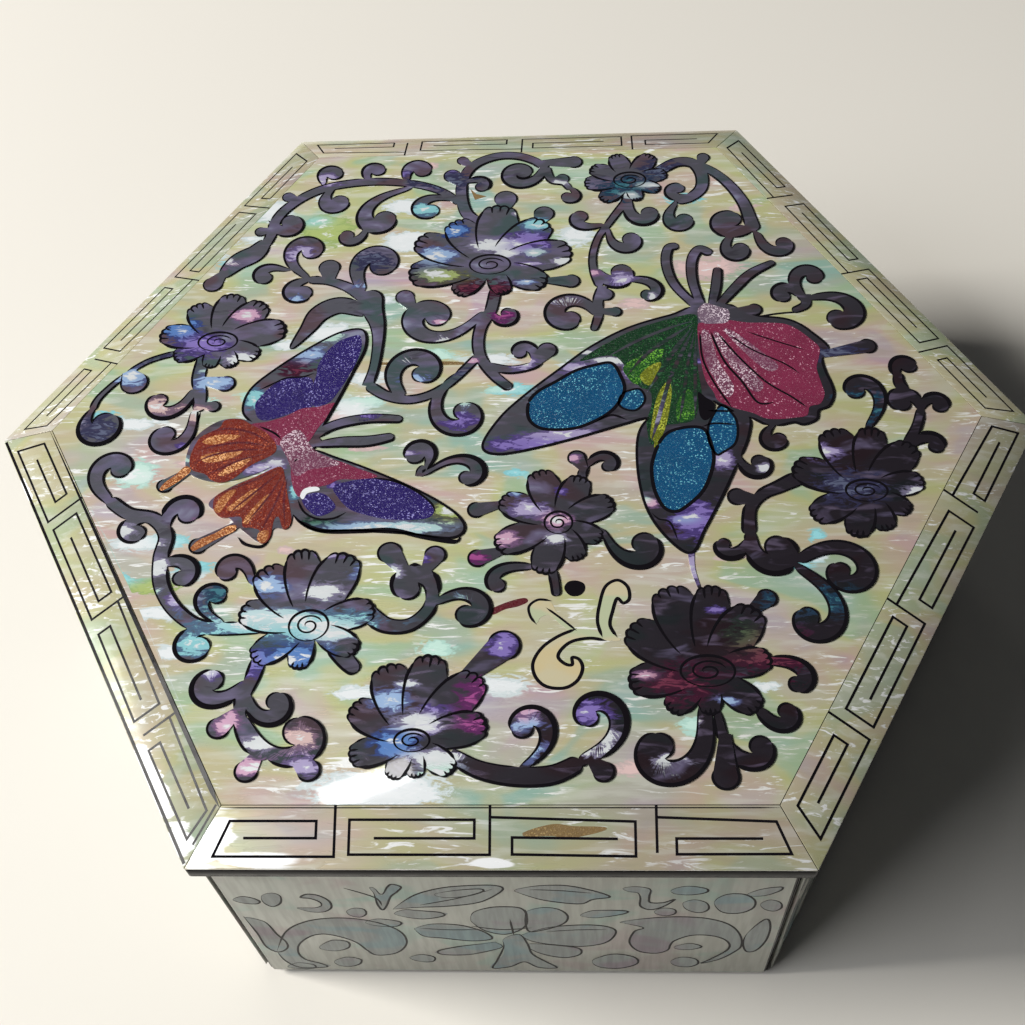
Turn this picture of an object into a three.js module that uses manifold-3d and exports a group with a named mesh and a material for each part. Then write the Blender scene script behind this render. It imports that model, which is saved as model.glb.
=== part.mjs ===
// A six-sided box with a lift-off lid, in black lacquered wood covered with mother-of-pearl.
// The lid's flat is a pale sheet of shell that carries cut shell flowers, vines and two butterflies.
// Millimetres, +Z up, origin at the middle of the underside, +X towards a corner, -Y towards the front side.
import * as THREE from 'three';
import { mergeVertices } from 'three/addons/utils/BufferGeometryUtils.js';
import Module from 'manifold-3d';

const wasm = await Module();
wasm.setup();

// ---- Driving dimensions ----
const side = 75;               // one side of the lid, which is also its corner radius
const height = 50;             // floor to the top of the shell figures
const shell = 0.4;             // thickness of the shell sheets
const figure = 0.2;            // thickness of the cut shell figures
const lidEdge = 2.5;           // upright edge of the lid board
const bevelRise = 2.4;         // height that the bevel climbs
const bevelRun = 8.2;          // corner radius that the bevel takes
const overhang = 1.5;          // corner radius of the lid beyond the walls
const wall = 5;                // thickness of the wall boards
const floor = 4;               // thickness of the floor board
const stripThick = 3;          // thickness of the locating strips
const stripDeep = 4;           // height of the locating strips
const slack = 0.8;             // room between the locating strips and the walls
const glue = 0.05;             // glue line under a shell sheet
const joint = 0.1;             // mitre joint between neighbours
const panelMargin = 0.7;       // lacquer left bare at each side of a panel
const panelFoot = 1.2;         // lacquer left bare under a panel
const panelHead = 0.7;         // lacquer left bare over a panel

// ---- The cutter's habits: how the figures swell and end ----
const scrollStep = 66;         // most degrees of turn between two points of a scroll
const scrollWind = 0.3;        // share of its radius that a scroll's head winds in by
const scrollEnd = 0.86;        // where along a scroll its round end starts
const scrollEye = 0.12;        // least distance of a scroll's inner edge from its eye
const lobeNeck = 0.22;         // half the width of a lobe's foot, over its full width
const petalFill = 0.58;        // half the angle of a petal, over the room that it has
const petalRoom = [30, 42];    // least and most room that a petal takes, in degrees
const petalFoot = 0.8;         // length by which a petal runs past the hub

const sides = 6;
const across = Math.cos(Math.PI / sides);          // flat radius over corner radius
const fieldTop = height - figure;
const boardTop = fieldTop - shell - glue;
const bevelFoot = boardTop - bevelRise;
const lidSeat = bevelFoot - lidEdge;
const fieldRadius = side - bevelRun;
const bodyRadius = side - overhang;
const wallOut = bodyRadius - (shell + glue) / across;
const wallIn = wallOut - wall / across;
const stripOut = wallIn - slack / across;
const stripIn = stripOut - stripThick / across;

// ---- Finishes ----
const finish = (color, roughness, metalness) => () =>
  new THREE.MeshStandardMaterial({ color, roughness, metalness });
const lacquer = finish(0x0d0b0c, 0.25, 0.0);
const paleShell = finish(0xc9cbb4, 0.25, 0.1);
const greyShell = finish(0x8d8c86, 0.3, 0.1);
const darkShell = finish(0x4a4258, 0.25, 0.2);

const box = new THREE.Group();
function add(name, geometry, material) {
  const mesh = new THREE.Mesh(geometry, material());
  mesh.name = name;
  box.add(mesh);
}

// ---- Joining and cutting ----
function toSolid(geometry) {
  const bare = geometry.clone();
  bare.deleteAttribute('normal');
  bare.deleteAttribute('uv');
  const merged = mergeVertices(bare, 1e-4);
  return new wasm.Manifold(new wasm.Mesh({
    numProp: 3,
    vertProperties: new Float32Array(merged.attributes.position.array),
    triVerts: new Uint32Array(merged.index.array),
  }));
}

function toGeometry(solid) {
  const mesh = solid.getMesh();
  const geometry = new THREE.BufferGeometry();
  geometry.setAttribute('position', new THREE.BufferAttribute(mesh.vertProperties, 3));
  geometry.setIndex(new THREE.BufferAttribute(mesh.triVerts, 1));
  geometry.computeVertexNormals();
  return geometry;
}

const join = (solids) => solids.reduce((whole, next) => whole.add(next));

// A flat cut-out standing between two heights, from a closed list of [x, y].
function cutOut(outline, low, high) {
  const shape = new THREE.Shape(outline.map(([x, y]) => new THREE.Vector2(x, y)));
  const geometry = new THREE.ExtrudeGeometry(shape, { depth: high - low, bevelEnabled: false });
  geometry.translate(0, 0, low);
  return geometry;
}

const hexagon = (radius) => Array.from({ length: sides }, (_, i) => {
  const turn = (i * 2 * Math.PI) / sides;
  return [radius * Math.cos(turn), radius * Math.sin(turn)];
});

// A six-sided turning: the profile is a list of [corner radius, height] that goes up its outer side.
function turned(profile) {
  const points = profile.map(([radius, z]) => new THREE.Vector2(radius, z));
  const geometry = new THREE.LatheGeometry(points, sides, Math.PI / 2);
  geometry.rotateX(Math.PI / 2);
  return toSolid(geometry);
}

// The sixth of the space that faces side i, pulled in from both mitre planes by a gap.
function sector(i, gap) {
  const middle = ((i + 0.5) * 2 * Math.PI) / sides;
  const apex = gap / Math.sin(Math.PI / sides);
  const reach = 2 * side;
  const corner = (turn) => [
    apex * Math.cos(middle) + reach * Math.cos(middle + turn),
    apex * Math.sin(middle) + reach * Math.sin(middle + turn),
  ];
  const half = Math.PI / sides;
  const tip = [apex * Math.cos(middle), apex * Math.sin(middle)];
  return toSolid(cutOut([tip, corner(-half), corner(half)], -height, 2 * height));
}

// One ring cut into six mitred pieces, named for the way they face.
const facing = ['back_right', 'back', 'back_left', 'front_left', 'front', 'front_right'];
function mitred(name, profile, gap, material) {
  const ring = turned([...profile, profile[0]]);
  facing.forEach((way, i) => add(`${name}_${way}`, toGeometry(ring.intersect(sector(i, gap))), material));
}

// ---- Body: floor board, six wall boards, six shell panels ----
add('floor_board', cutOut(hexagon(wallIn - joint), 0, floor), lacquer);
mitred('wall', [[wallOut, 0], [wallOut, lidSeat], [wallIn, lidSeat], [wallIn, 0]], joint / 2, lacquer);
mitred('side_panel', [
  [bodyRadius, panelFoot],
  [bodyRadius, lidSeat - panelHead],
  [wallOut + glue, lidSeat - panelHead],
  [wallOut + glue, panelFoot],
], panelMargin, greyShell);

// ---- Lid: bevelled board, locating strips, field sheet, border strips ----
add('lid_board', toGeometry(turned([
  [0, lidSeat],
  [side, lidSeat],
  [side, bevelFoot],
  [fieldRadius, boardTop],
  [0, boardTop],
])), lacquer);
mitred('locating_strip', [
  [stripOut, lidSeat - stripDeep],
  [stripOut, lidSeat],
  [stripIn, lidSeat],
  [stripIn, lidSeat - stripDeep],
], joint / 2, lacquer);
add('field_sheet', cutOut(hexagon(fieldRadius - joint), boardTop + glue, fieldTop), paleShell);
mitred('border_strip', [
  [side, bevelFoot + glue],
  [side, bevelFoot + glue + shell],
  [fieldRadius + joint, fieldTop],
  [fieldRadius + joint, boardTop + glue],
], joint / 2, paleShell);

// ---- Cut shell figures ----
const radians = Math.PI / 180;
const onField = (outline) => toSolid(cutOut(outline, fieldTop, height));

// A band of changing width along a smooth line: three widths, then the points it runs through.
function stem([startWidth, middleWidth, endWidth, ...points]) {
  const line = new THREE.SplineCurve(points.map(([x, y]) => new THREE.Vector2(x, y)));
  const steps = points.length - 1;
  const left = [];
  const right = [];
  for (let i = 0; i <= steps; i++) {
    const t = i / steps;
    const at = line.getPointAt(t);
    const along = line.getTangentAt(t);
    const bulge = 4 * t * (1 - t) * (middleWidth - (startWidth + endWidth) / 2);
    const half = (startWidth + (endWidth - startWidth) * t + bulge) / 2;
    left.push([at.x - along.y * half, at.y + along.x * half]);
    right.unshift([at.x + along.y * half, at.y - along.x * half]);
  }
  return onField([...left, ...right]);
}

// A scroll that leaves its foot and winds in on its eye: foot, eye, outer radius of the head,
// turn in degrees (anticlockwise is positive), width at the foot and in the head.
function scroll([footX, footY, eyeX, eyeY, radius, turn, footWidth, headWidth]) {
  const reach = Math.hypot(footX - eyeX, footY - eyeY);
  const start = Math.atan2(footY - eyeY, footX - eyeX);
  const middle = Math.max(radius - headWidth / 2, radius * scrollWind);
  const steps = Math.ceil(Math.abs(turn) / scrollStep);
  const outer = [];
  const inner = [];
  for (let i = 0; i <= steps; i++) {
    const t = i / steps;
    const swell = THREE.MathUtils.smoothstep(t, 0.05, 0.7);
    const ending = Math.max(0, (t - scrollEnd) / (1 - scrollEnd));
    const roundOff = Math.sqrt(Math.max(0, 1 - ending ** 2));
    const half = ((footWidth + (headWidth - footWidth) * swell) / 2) * roundOff;
    const at = middle * (1 - scrollWind * t * t) + (reach - middle) * (1 - t) ** 3;
    const angle = start + turn * radians * t ** 1.5;
    const place = (r) => [eyeX + r * Math.cos(angle), eyeY + r * Math.sin(angle)];
    outer.push(place(at + half));
    if (half > 0) inner.unshift(place(Math.max(at - half, scrollEye)));
  }
  return onField([...outer, ...inner]);
}

// A lobe that swells from its foot to a round head: foot, far end, width.
function lobe([footX, footY, endX, endY, width]) {
  const length = Math.hypot(endX - footX, endY - footY);
  const angle = Math.atan2(endY - footY, endX - footX);
  const neck = width * lobeNeck;
  const place = (along, aside) => [
    footX + along * Math.cos(angle) - aside * Math.sin(angle),
    footY + along * Math.sin(angle) + aside * Math.cos(angle),
  ];
  const outline = [place(0, neck), place(0, -neck)];
  for (let i = 0; i <= 3; i++) {
    const round = (-105 + 70 * i) * radians;
    outline.push(place(length - width / 2 + (width / 2) * Math.cos(round), (width / 2) * Math.sin(round)));
  }
  return onField(outline);
}

// A petal is a wedge from the flower's hub with a round end, as wide as its neighbours leave room for.
function petal([hubX, hubY], direction, length, room) {
  const spread = Math.sin(room * petalFill * radians);
  const round = (length * spread) / (1 + spread);
  const angle = direction * radians;
  const outline = [[hubX - petalFoot * Math.cos(angle), hubY - petalFoot * Math.sin(angle)]];
  for (let i = 0; i <= 3; i++) {
    const sweep = angle + (-84 + 56 * i) * radians;
    outline.push([
      hubX + (length - round) * Math.cos(angle) + round * Math.cos(sweep),
      hubY + (length - round) * Math.sin(angle) + round * Math.sin(sweep),
    ]);
  }
  return onField(outline);
}

// A flower has a hub and petals given as [direction in degrees, length], in order round the hub.
function flower({ hub, petals }) {
  const rooms = petals.map(([direction], i) => {
    const before = petals[(i + petals.length - 1) % petals.length][0];
    const after = petals[(i + 1) % petals.length][0];
    const gap = (a, b) => (((a - b) % 360) + 360) % 360;
    const room = Math.max(gap(direction, before), gap(after, direction));
    return THREE.MathUtils.clamp(room, ...petalRoom);
  });
  return join(petals.map(([direction, length], i) => petal(hub, direction, length, rooms[i])));
}

// A smooth closed outline through a few points.
function wing(points) {
  const loop = new THREE.CatmullRomCurve3(points.map(([x, y]) => new THREE.Vector3(x, y, 0)), true);
  return onField(loop.getPoints(Math.ceil(1.5 * points.length)).slice(1).map(({ x, y }) => [x, y]));
}

const figures = {
  "flower_spray_back": {
    "flower": {"hub": [-3.6, 31.7], "petals": [[12, 13], [47, 12.7], [84, 13.3], [122, 11.6],
      [154, 13.2], [189, 12.8], [231, 8], [291, 6.8], [333, 9.8]]},
    "stems": [
      [2.0, 1.7, 1.5, [-5.2, 40.5], [-7.8, 43.5], [-8.8, 48], [-8.5, 52], [-6.8, 55], [-3.5, 56.8],
        [0, 56.9], [3, 55.6], [5, 53.6]],
      [1.3, 1.7, 1.6, [-9.2, 46], [-12, 48.6], [-16, 50.4], [-21, 51.3], [-26, 51.3], [-31, 50.3],
        [-34.8, 48.2], [-37.6, 45.3], [-39, 42.4], [-39.3, 39.5], [-40.1, 36.8]],
      [1.6, 1.2, 1.0, [5, 53.6], [6, 50.8], [8, 50], [9, 48.4]],
      [1.8, 1.7, 1.4, [-2.6, 26], [-3.2, 22], [-4.6, 18.5], [-4.9, 15], [-4.2, 12], [-2.2, 8.8], [0.2, 6.4]],
      [1.3, 1.4, 1.8, [-5, 12.5], [-8, 8.6], [-11, 5.8], [-14.5, 4.6], [-18, 5.4], [-21, 7.6]],
      [1.6, 1.9, 5.0, [-21, 7.4], [-20.3, 11], [-20.1, 16], [-20.5, 19.6], [-21.6, 23], [-22.4, 26.6]],
      [2.2, 1.6, 1.6, [-23.4, 25.6], [-26, 27.6], [-29, 28.9], [-32, 29.2]],
      [2.4, 3.2, 0.4, [-22.6, 22.4], [-26.6, 23.6], [-29.6, 22], [-31.2, 18.8], [-33.3, 14.9]],
      [1.4, 3.6, 1.2, [-40, 38], [-41.4, 35.4], [-44, 33.4], [-46.2, 30.2]],
      [1.6, 1.3, 1.4, [-3.6, 10.8], [0, 10], [3, 10.6], [4.6, 11.8]],
    ],
    "scrolls": [
      [-31.8, 51, -30.9, 53.3, 2.3, -250, 1.2, 2.2],
      [-24.3, 51.5, -23.6, 53.9, 2.1, -250, 1.2, 2.0],
      [-18, 51, -16.3, 53.8, 2.6, -260, 1.4, 2.3],
      [-30, 50.6, -29.6, 46.8, 2.5, 290, 1.2, 2.9],
      [-16.8, 50.2, -21.9, 42.3, 3.0, 350, 1.5, 3.0],
      [-23.6, 41.4, -26.4, 38.6, 1.9, -280, 1.2, 2.0],
      [-39.4, 42.5, -36.7, 41.6, 2.6, 300, 1.6, 2.4],
      [-9.4, 46.6, -14.2, 44.7, 2.5, 320, 1.2, 2.4],
      [-8.6, 50.6, -5.8, 50, 1.8, -250, 1.2, 1.8],
      [5, 54.4, 0.6, 52.3, 2.9, -400, 1.6, 2.0],
      [8.8, 49, 9, 46.9, 1.7, -270, 1.0, 1.9],
      [-3.4, 22.4, -0.9, 20.8, 1.9, 290, 1.0, 2.2],
      [-3.8, 21.8, -12.6, 20.6, 4.0, -400, 1.5, 2.8],
      [-5.4, 11.8, -6.8, 1.4, 3.2, 385, 1.2, 2.5],
      [3.6, 11.6, 1.9, 13.5, 1.9, 280, 1.4, 1.6],
      [-15.6, 4.8, -13.9, 10.3, 4.1, -330, 2.0, 2.4],
      [-23.2, 26, -21.4, 32.7, 3.5, -330, 2.2, 3.4],
      [-31.8, 29.4, -33.3, 26.9, 2.5, 290, 1.4, 2.8],
      [-32, 29.2, -33.1, 35.8, 3.0, -330, 1.5, 2.6],
      [-35.4, 31.4, -39, 30.4, 2.1, 260, 1.3, 2.2],
    ],
    "lobes": [
      [-8.6, 50.2, -11.4, 53.4, 2.8],
      [-7.2, 54.6, -9.6, 56.6, 1.8],
      [6.2, 50.6, 8.8, 51.2, 2.2],
      [4.4, 55, 11, 55, 2.6],
      [-1.6, 44, -1.4, 48.3, 3.6],
      [3.8, 40.6, 5.4, 44.3, 3.2],
      [5.2, 28, 10.4, 27.7, 2.6],
      [-15.2, 22.6, -17.3, 26.3, 2.8],
      [3.4, 10.8, 6.3, 14.8, 2.8],
      [-28.8, 28.8, -29.2, 33.4, 3.3],
      [-36, 47.6, -38.4, 48.6, 2.0],
      [-39.6, 40.6, -42, 40, 1.9],
      [-46, 31, -48, 27.4, 3.0],
    ],
  },
  "flower_spray_back_right": {
    "flower": {"hub": [18.8, 50.3], "petals": [[13, 6.2], [58, 7], [111, 6.6], [154, 7],
      [185, 7.4], [226, 6.6], [283, 5], [331, 5.4]]},
    "stems": [
      [1.6, 1.1, 1.4, [18.6, 48], [18.1, 45.5], [16.4, 42.5], [15.1, 40.2], [13.4, 37], [12.5, 33],
        [12.7, 29.5], [13.6, 26.5]],
      [1.4, 1.5, 0.9, [14, 26.6], [13.2, 23.6], [13.2, 20.4], [12.4, 17.4]],
      [2.0, 2.0, 1.6, [23.4, 52], [26.4, 54.2], [29.2, 54], [30.5, 51.4], [30.3, 48], [28.4, 45.8],
        [26.2, 45]],
      [1.6, 1.8, 2.4, [29.6, 54], [32.6, 51.6], [35, 48.4], [36.8, 44.4], [37.6, 40.6], [38, 37.8]],
    ],
    "scrolls": [
      [18.4, 46.5, 21, 42.2, 2.4, 280, 2.0, 2.2],
      [14.8, 40, 11, 41.5, 2.2, -230, 1.4, 2.0],
      [14.8, 39.6, 18, 36.2, 2.5, 290, 1.0, 2.2],
      [12.8, 30.5, 16.2, 29, 2.8, 260, 1.6, 2.8],
      [17.6, 28, 20.9, 25.2, 2.2, -270, 1.6, 1.6],
      [13.2, 20.6, 8.7, 21, 3.9, 320, 1.6, 2.4],
      [28.6, 46.2, 26.4, 47.4, 2.1, -290, 1.4, 1.6],
      [26.2, 45, 26.5, 40.6, 2.3, 300, 1.4, 2.6],
      [37.6, 38.8, 34.2, 39.8, 3.0, -310, 2.6, 2.6],
      [34.6, 37.4, 35, 33.6, 2.2, 320, 1.4, 2.2],
      [38.2, 38, 41.8, 34.6, 2.3, 280, 1.8, 2.0],
    ],
    "lobes": [
      [13.2, 25.4, 15.4, 24.2, 2.4],
      [12.8, 21.4, 16.7, 21.1, 1.8],
      [30.2, 53.2, 31.4, 56.2, 2.0],
    ],
  },
  "flower_spray_left": {
    "flower": {"hub": [-44.7, 16.6], "petals": [[14, 10.4], [52, 9.9], [83, 9.9], [121, 9],
      [168, 9.3], [206, 7], [262, 5.2], [300, 5.8], [335, 7.2]]},
    "stems": [
      [1.8, 1.9, 1.6, [-46.4, 13.6], [-46.6, 9.5], [-45.8, 6], [-45.7, 3]],
      [1.0, 0.8, 1.1, [-50.4, 14.6], [-55, 12.8], [-58.6, 9.4], [-61, 6], [-61.6, 3.6]],
    ],
    "scrolls": [
      [-46.6, 7.6, -51.1, 4.8, 2.9, -270, 1.6, 1.9],
      [-46.2, 3.6, -49.6, -1.9, 2.5, -340, 1.6, 2.5],
      [-61.4, 4.6, -59.9, 0.5, 3.1, 330, 1.0, 3.6],
    ],
    "lobes": [
      [-46.2, 9, -41, 8, 2.8],
      [-45.6, 4.2, -42.6, 3.8, 1.9],
      [-57.6, 11, -55.2, 7, 4.0],
    ],
  },
  "flower_spray_right": {
    "flower": {"hub": [49.2, -12.7], "petals": [[12, 8], [47, 10.6], [79, 11], [110, 11.2],
      [155, 10.4], [209, 8.8], [253, 7.8], [288, 6.8], [327, 6.4]]},
    "stems": [
      [1.4, 1.3, 1.2, [55, -6], [57.4, -2], [58.6, 1.4]],
      [2.6, 1.6, 2.0, [41.4, -9.8], [37.6, -11.8], [35, -13.2], [33.2, -15.6], [32.8, -19.8]],
      [1.8, 1.5, 1.4, [56.8, 4.4], [56.2, 6.4], [56.3, 8.2]],
    ],
    "scrolls": [
      [50.4, -2.6, 50.4, 5.2, 2.3, 330, 1.6, 2.4],
      [58.6, 1, 56.4, 3, 2.2, 310, 1.4, 2.6],
      [56.2, 7, 57.4, 9.2, 2.0, -250, 1.4, 2.2],
      [58.2, 0.6, 60.9, 2.2, 1.9, -270, 1.2, 2.0],
      [55.6, -5.6, 59.2, -5, 1.9, -240, 1.8, 1.8],
      [33, -20, 29.8, -21.4, 2.0, -250, 1.6, 1.4],
      [33, -18.6, 36, -22.6, 3.2, 330, 2.0, 2.8],
      [38.4, -24, 45.2, -25.6, 3.5, -390, 2.0, 2.0],
      [38.2, -24.2, 40, -33, 3.0, -350, 1.8, 2.3],
    ],
    "lobes": [[34.6, -14, 30.4, -13.2, 2.6]],
  },
  "flower_spray_middle": {
    "flower": {"hub": [7.2, -17.4], "petals": [[25, 8.2], [67, 8.3], [108, 9.2], [153, 8.9],
      [204, 9.2], [255, 8.4], [295, 6.6], [335, 6.4]]},
    "stems": [
      [1.5, 1.2, 1.3, [10, -12], [10.6, -8.8], [11.2, -7]],
      [1.4, 1.2, 1.0, [5.6, -23], [6.6, -26], [7, -29]],
    ],
    "scrolls": [
      [11, -8, 13.8, -7.5, 1.9, -270, 1.2, 1.4],
      [12.8, -18.2, 18.2, -21.6, 2.9, 290, 1.2, 2.8],
      [4.4, -24.4, -0.6, -26.8, 1.8, 240, 1.8, 1.8],
    ],
    "lobes": [
      [-0.6, -14.2, -5.2, -15.4, 2.4],
      [10.9, -8.6, 9.2, -5.4, 2.4],
      [-0.2, -21.8, -4.8, -23.4, 2.6],
    ],
  },
  "flower_spray_front_left": {
    "flower": {"hub": [-25.4, -33.2], "petals": [[17, 8.8], [69, 11.8], [101, 12], [129, 11.4],
      [166, 9.6], [216, 8.4], [262, 6.4], [330, 7.6]]},
    "stems": [
      [1.8, 2.0, 1.8, [-32, -33.4], [-39, -33.4], [-43.2, -31], [-46, -27], [-46.9, -22.5], [-46.8, -18.8],
        [-49, -16], [-52.8, -15], [-56, -12.6]],
      [2.0, 1.6, 1.4, [-31, -36.6], [-31.8, -40.5], [-32.8, -44], [-32.6, -47], [-31.2, -50], [-28.5, -51.8]],
      [2.0, 2.2, 1.4, [-22.4, -35.6], [-20, -38.4], [-18.4, -40]],
      [2.6, 1.8, 1.6, [-17.8, -31.4], [-15.2, -33.2], [-12.2, -33.2], [-9.9, -31], [-9.3, -28]],
    ],
    "scrolls": [
      [-55.6, -13.2, -56.2, -7.3, 3.0, -310, 2.0, 2.2],
      [-46.8, -19, -44.9, -15, 2.4, -300, 1.4, 2.9],
      [-49.6, -16, -51.4, -17.8, 2.2, 290, 1.4, 2.2],
      [-46.6, -23.4, -44, -25, 2.8, -230, 1.6, 1.8],
      [-36.6, -33, -38.7, -28.8, 2.0, -300, 1.2, 2.4],
      [-37.6, -33.6, -40.2, -36, 2.5, 330, 1.6, 2.4],
      [-33.6, -27, -36.9, -24.4, 2.2, 290, 1.4, 2.2],
      [-32, -41, -37, -41.9, 2.6, -310, 1.8, 2.3],
      [-32.5, -42.8, -28.7, -44.8, 2.5, 300, 1.4, 2.0],
      [-32.6, -46, -24.9, -49.2, 3.2, 340, 1.4, 3.2],
      [-10, -31.6, -12.2, -27, 3.0, 330, 1.6, 2.6],
      [-9.4, -30, -4.4, -31, 2.8, -320, 1.4, 2.2],
    ],
    "lobes": [
      [-33, -45.4, -36.2, -48.8, 2.8],
      [-29.6, -51, -31.6, -54.8, 2.8],
      [-25.4, -51.6, -22.2, -54.4, 2.8],
      [-13.2, -25.2, -16.5, -20.7, 3.2],
      [-10.6, -25, -8.8, -21.2, 2.8],
    ],
  },
  "flower_spray_front": {
    "flower": {"hub": [-10.8, -49.6], "petals": [[14, 9.4], [48, 12], [81, 12], [111, 11.2],
      [149, 9.2], [196, 7.9], [245, 5.4], [280, 4.9], [322, 6.6]]},
    "stems": [[1.6, 2.4, 2.0, [-6, -51.4], [-2.4, -53.4], [2, -54.3], [6.5, -54.1], [10, -52.4]]],
    "scrolls": [
      [9.4, -52.8, 11.9, -46.3, 3.2, 340, 2.0, 1.9],
      [2.2, -54, 3.6, -47.8, 2.8, 320, 1.2, 2.2],
    ],
    "lobes": [
      [11.2, -52.2, 13.6, -54.6, 2.6],
      [-4.8, -41.2, 1.7, -34.9, 4.2],
    ],
  },
  "flower_spray_front_right": {
    "flower": {"hub": [26, -40.2], "petals": [[13, 8.2], [54, 11.2], [84, 12.6], [111, 13.2],
      [147, 11.6], [189, 10], [228, 7.4], [270, 6], [318, 8]]},
    "stems": [],
    "scrolls": [
      [25.4, -44, 20, -51.4, 3.7, -330, 2.4, 2.8],
      [26.6, -45, 31.2, -50.9, 2.3, 300, 1.6, 2.2],
      [33, -38.8, 36.9, -41.4, 2.3, -250, 1.8, 1.8],
      [31.6, -45, 35, -46.3, 2.0, 280, 1.8, 1.8],
    ],
    "lobes": [
      [27.6, -48.8, 27.2, -56, 3.2],
      [31.6, -32, 35.2, -28.8, 2.6],
    ],
  },
  "vine_right": {
    "stems": [[1.8, 1.4, 1.0, [44.6, 24], [44.4, 21.8], [42.4, 20.6]]],
    "scrolls": [
      [44.4, 22.6, 45.6, 27.6, 2.5, -300, 1.8, 1.9],
      [44, 23.4, 41.5, 24.2, 2.1, 290, 1.6, 1.8],
      [44.4, 23.2, 49.4, 20, 3.7, -290, 1.4, 2.6],
    ],
    "lobes": [],
  },
  "vine_middle": {
    "stems": [[1.0, 0.9, 1.0, [-12.4, -9.2], [-12.2, -8.2], [-11.6, -7.6]]],
    "scrolls": [
      [-11.5, -8, -12.5, -5.4, 2.3, 300, 1.0, 2.6],
      [-12.2, -9.2, -5.5, -8.9, 2.4, -310, 1.0, 1.8],
    ],
    "lobes": [],
  },
  "butterfly_left": {
    "wings": [
      [[-30.5, -4.4], [-27.6, -1.4], [-25.4, 4], [-23.4, 10], [-21.9, 15], [-22.6, 18.4], [-26, 18],
        [-30.4, 15], [-35, 11], [-38.4, 7], [-39, 3], [-37, 0.6], [-33.6, -1.4]],
      [[-29, -4.6], [-24, -6], [-17, -9.2], [-10.6, -12.8], [-6.6, -16], [-5.6, -18.4], [-7.6, -19.7],
        [-14, -18.8], [-21, -18.3], [-26, -18.2], [-29.4, -15.6], [-30.8, -11]],
      [[-31, -4], [-34.8, -1.2], [-38, 1.2], [-41.6, 1.4], [-44.6, -0.8], [-46, -4], [-45.4, -8],
        [-41, -9.8], [-36, -8.6], [-32, -6]],
      [[-31, -5.6], [-34.6, -8.4], [-39, -10.8], [-41.6, -13.6], [-38.8, -15.6], [-35.8, -18.4],
        [-33.4, -20], [-31.8, -17.8], [-29.8, -17.4], [-29.4, -11]],
    ],
    "scrolls": [],
    "stems": [
      [2.4, 2.6, 1.2, [-33, -7.6], [-30.4, -4.6], [-27, -2.4]],
      [1.0, 1.6, 1.1, [-28.6, -2.6], [-25.4, 0], [-20.6, 1.2], [-15.4, 1]],
      [0.8, 1.8, 1.1, [-27.4, -3.4], [-24, -3], [-20, -2.9], [-16.4, -2.1]],
    ],
    "lobes": [
      [-44.6, -7.2, -49.2, -11, 2.2],
      [-36.6, -16.8, -43, -21.2, 2.4],
    ],
  },
  "butterfly_right": {
    "wings": [
      [[29, 21.4], [24, 20.2], [17.6, 17.8], [12, 14.2], [7.4, 10], [2.4, 5.2], [-1.2, 1], [-3.6, -4],
        [-1.4, -5.6], [4, -4.6], [10, -2.8], [16.4, -0.6], [20.4, 0.6], [28, 1], [30.4, 10]],
      [[28.6, 1.6], [22, 1.4], [18.8, -1.6], [18.2, -8], [19.2, -15], [21.8, -20], [24.9, -22.5],
        [27, -18.6], [29.6, -13.4], [32, -8], [34, -3], [34, 0.8]],
      [[27.6, 21.6], [27.6, 10], [28.6, 3.6], [32, 0.8], [36, -0.8], [42, -1.2], [45.6, 2], [46.2, 7],
        [46.6, 12.6], [45, 16], [42, 19], [36, 20], [33.4, 22], [30, 22.4]],
    ],
    "stems": [
      [1.2, 1.5, 1.3, [28.4, 21.4], [25, 26.5], [23.9, 31], [24.4, 34.4], [26, 34.8]],
      [1.2, 1.6, 1.4, [29, 21.4], [27.8, 27], [27.9, 31.6], [29.2, 34], [31, 33]],
      [0.8, 1.5, 1.1, [30.2, 21.4], [31.2, 25.6], [31.8, 30]],
      [1.0, 1.6, 0.9, [31, 21.4], [34, 25.4], [36.8, 28.6], [40.6, 31]],
    ],
    "scrolls": [
      [38, -0.6, 37.6, -3.6, 1.8, 300, 0.9, 2.2],
      [32, -5.6, 34.7, -8, 2.0, 290, 0.9, 2.4],
    ],
    "lobes": [
      [45.4, 11.8, 53.8, 13.6, 2.6],
      [32, 20.4, 37.8, 21.2, 2.2],
    ],
  },
};

for (const [name, { flower: blossom, wings = [], stems, scrolls, lobes }] of Object.entries(figures)) {
  const pieces = [
    ...(blossom ? [flower(blossom)] : []),
    ...wings.map(wing),
    ...stems.map(stem),
    ...scrolls.map(scroll),
    ...lobes.map(lobe),
  ];
  add(name, toGeometry(join(pieces)), darkShell);
}

export default box;
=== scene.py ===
# %% [markdown]
# # A hexagonal box covered with mother-of-pearl
# The real box is black lacquered wood under thin sheets of shell. Its lid carries flowers, vines and two butterflies
# cut from darker shell, with black lines round them and glitter paint on the wings. The frame already holds every
# board, sheet and figure at its real size, so this lesson gives them their finish, cuts the figures with smooth
# edges, and draws the lines.

# %% Load the frame
import math
import bpy
import numpy as np
from mathutils import Matrix, Vector
from mathutils.geometry import delaunay_2d_cdt


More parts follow.
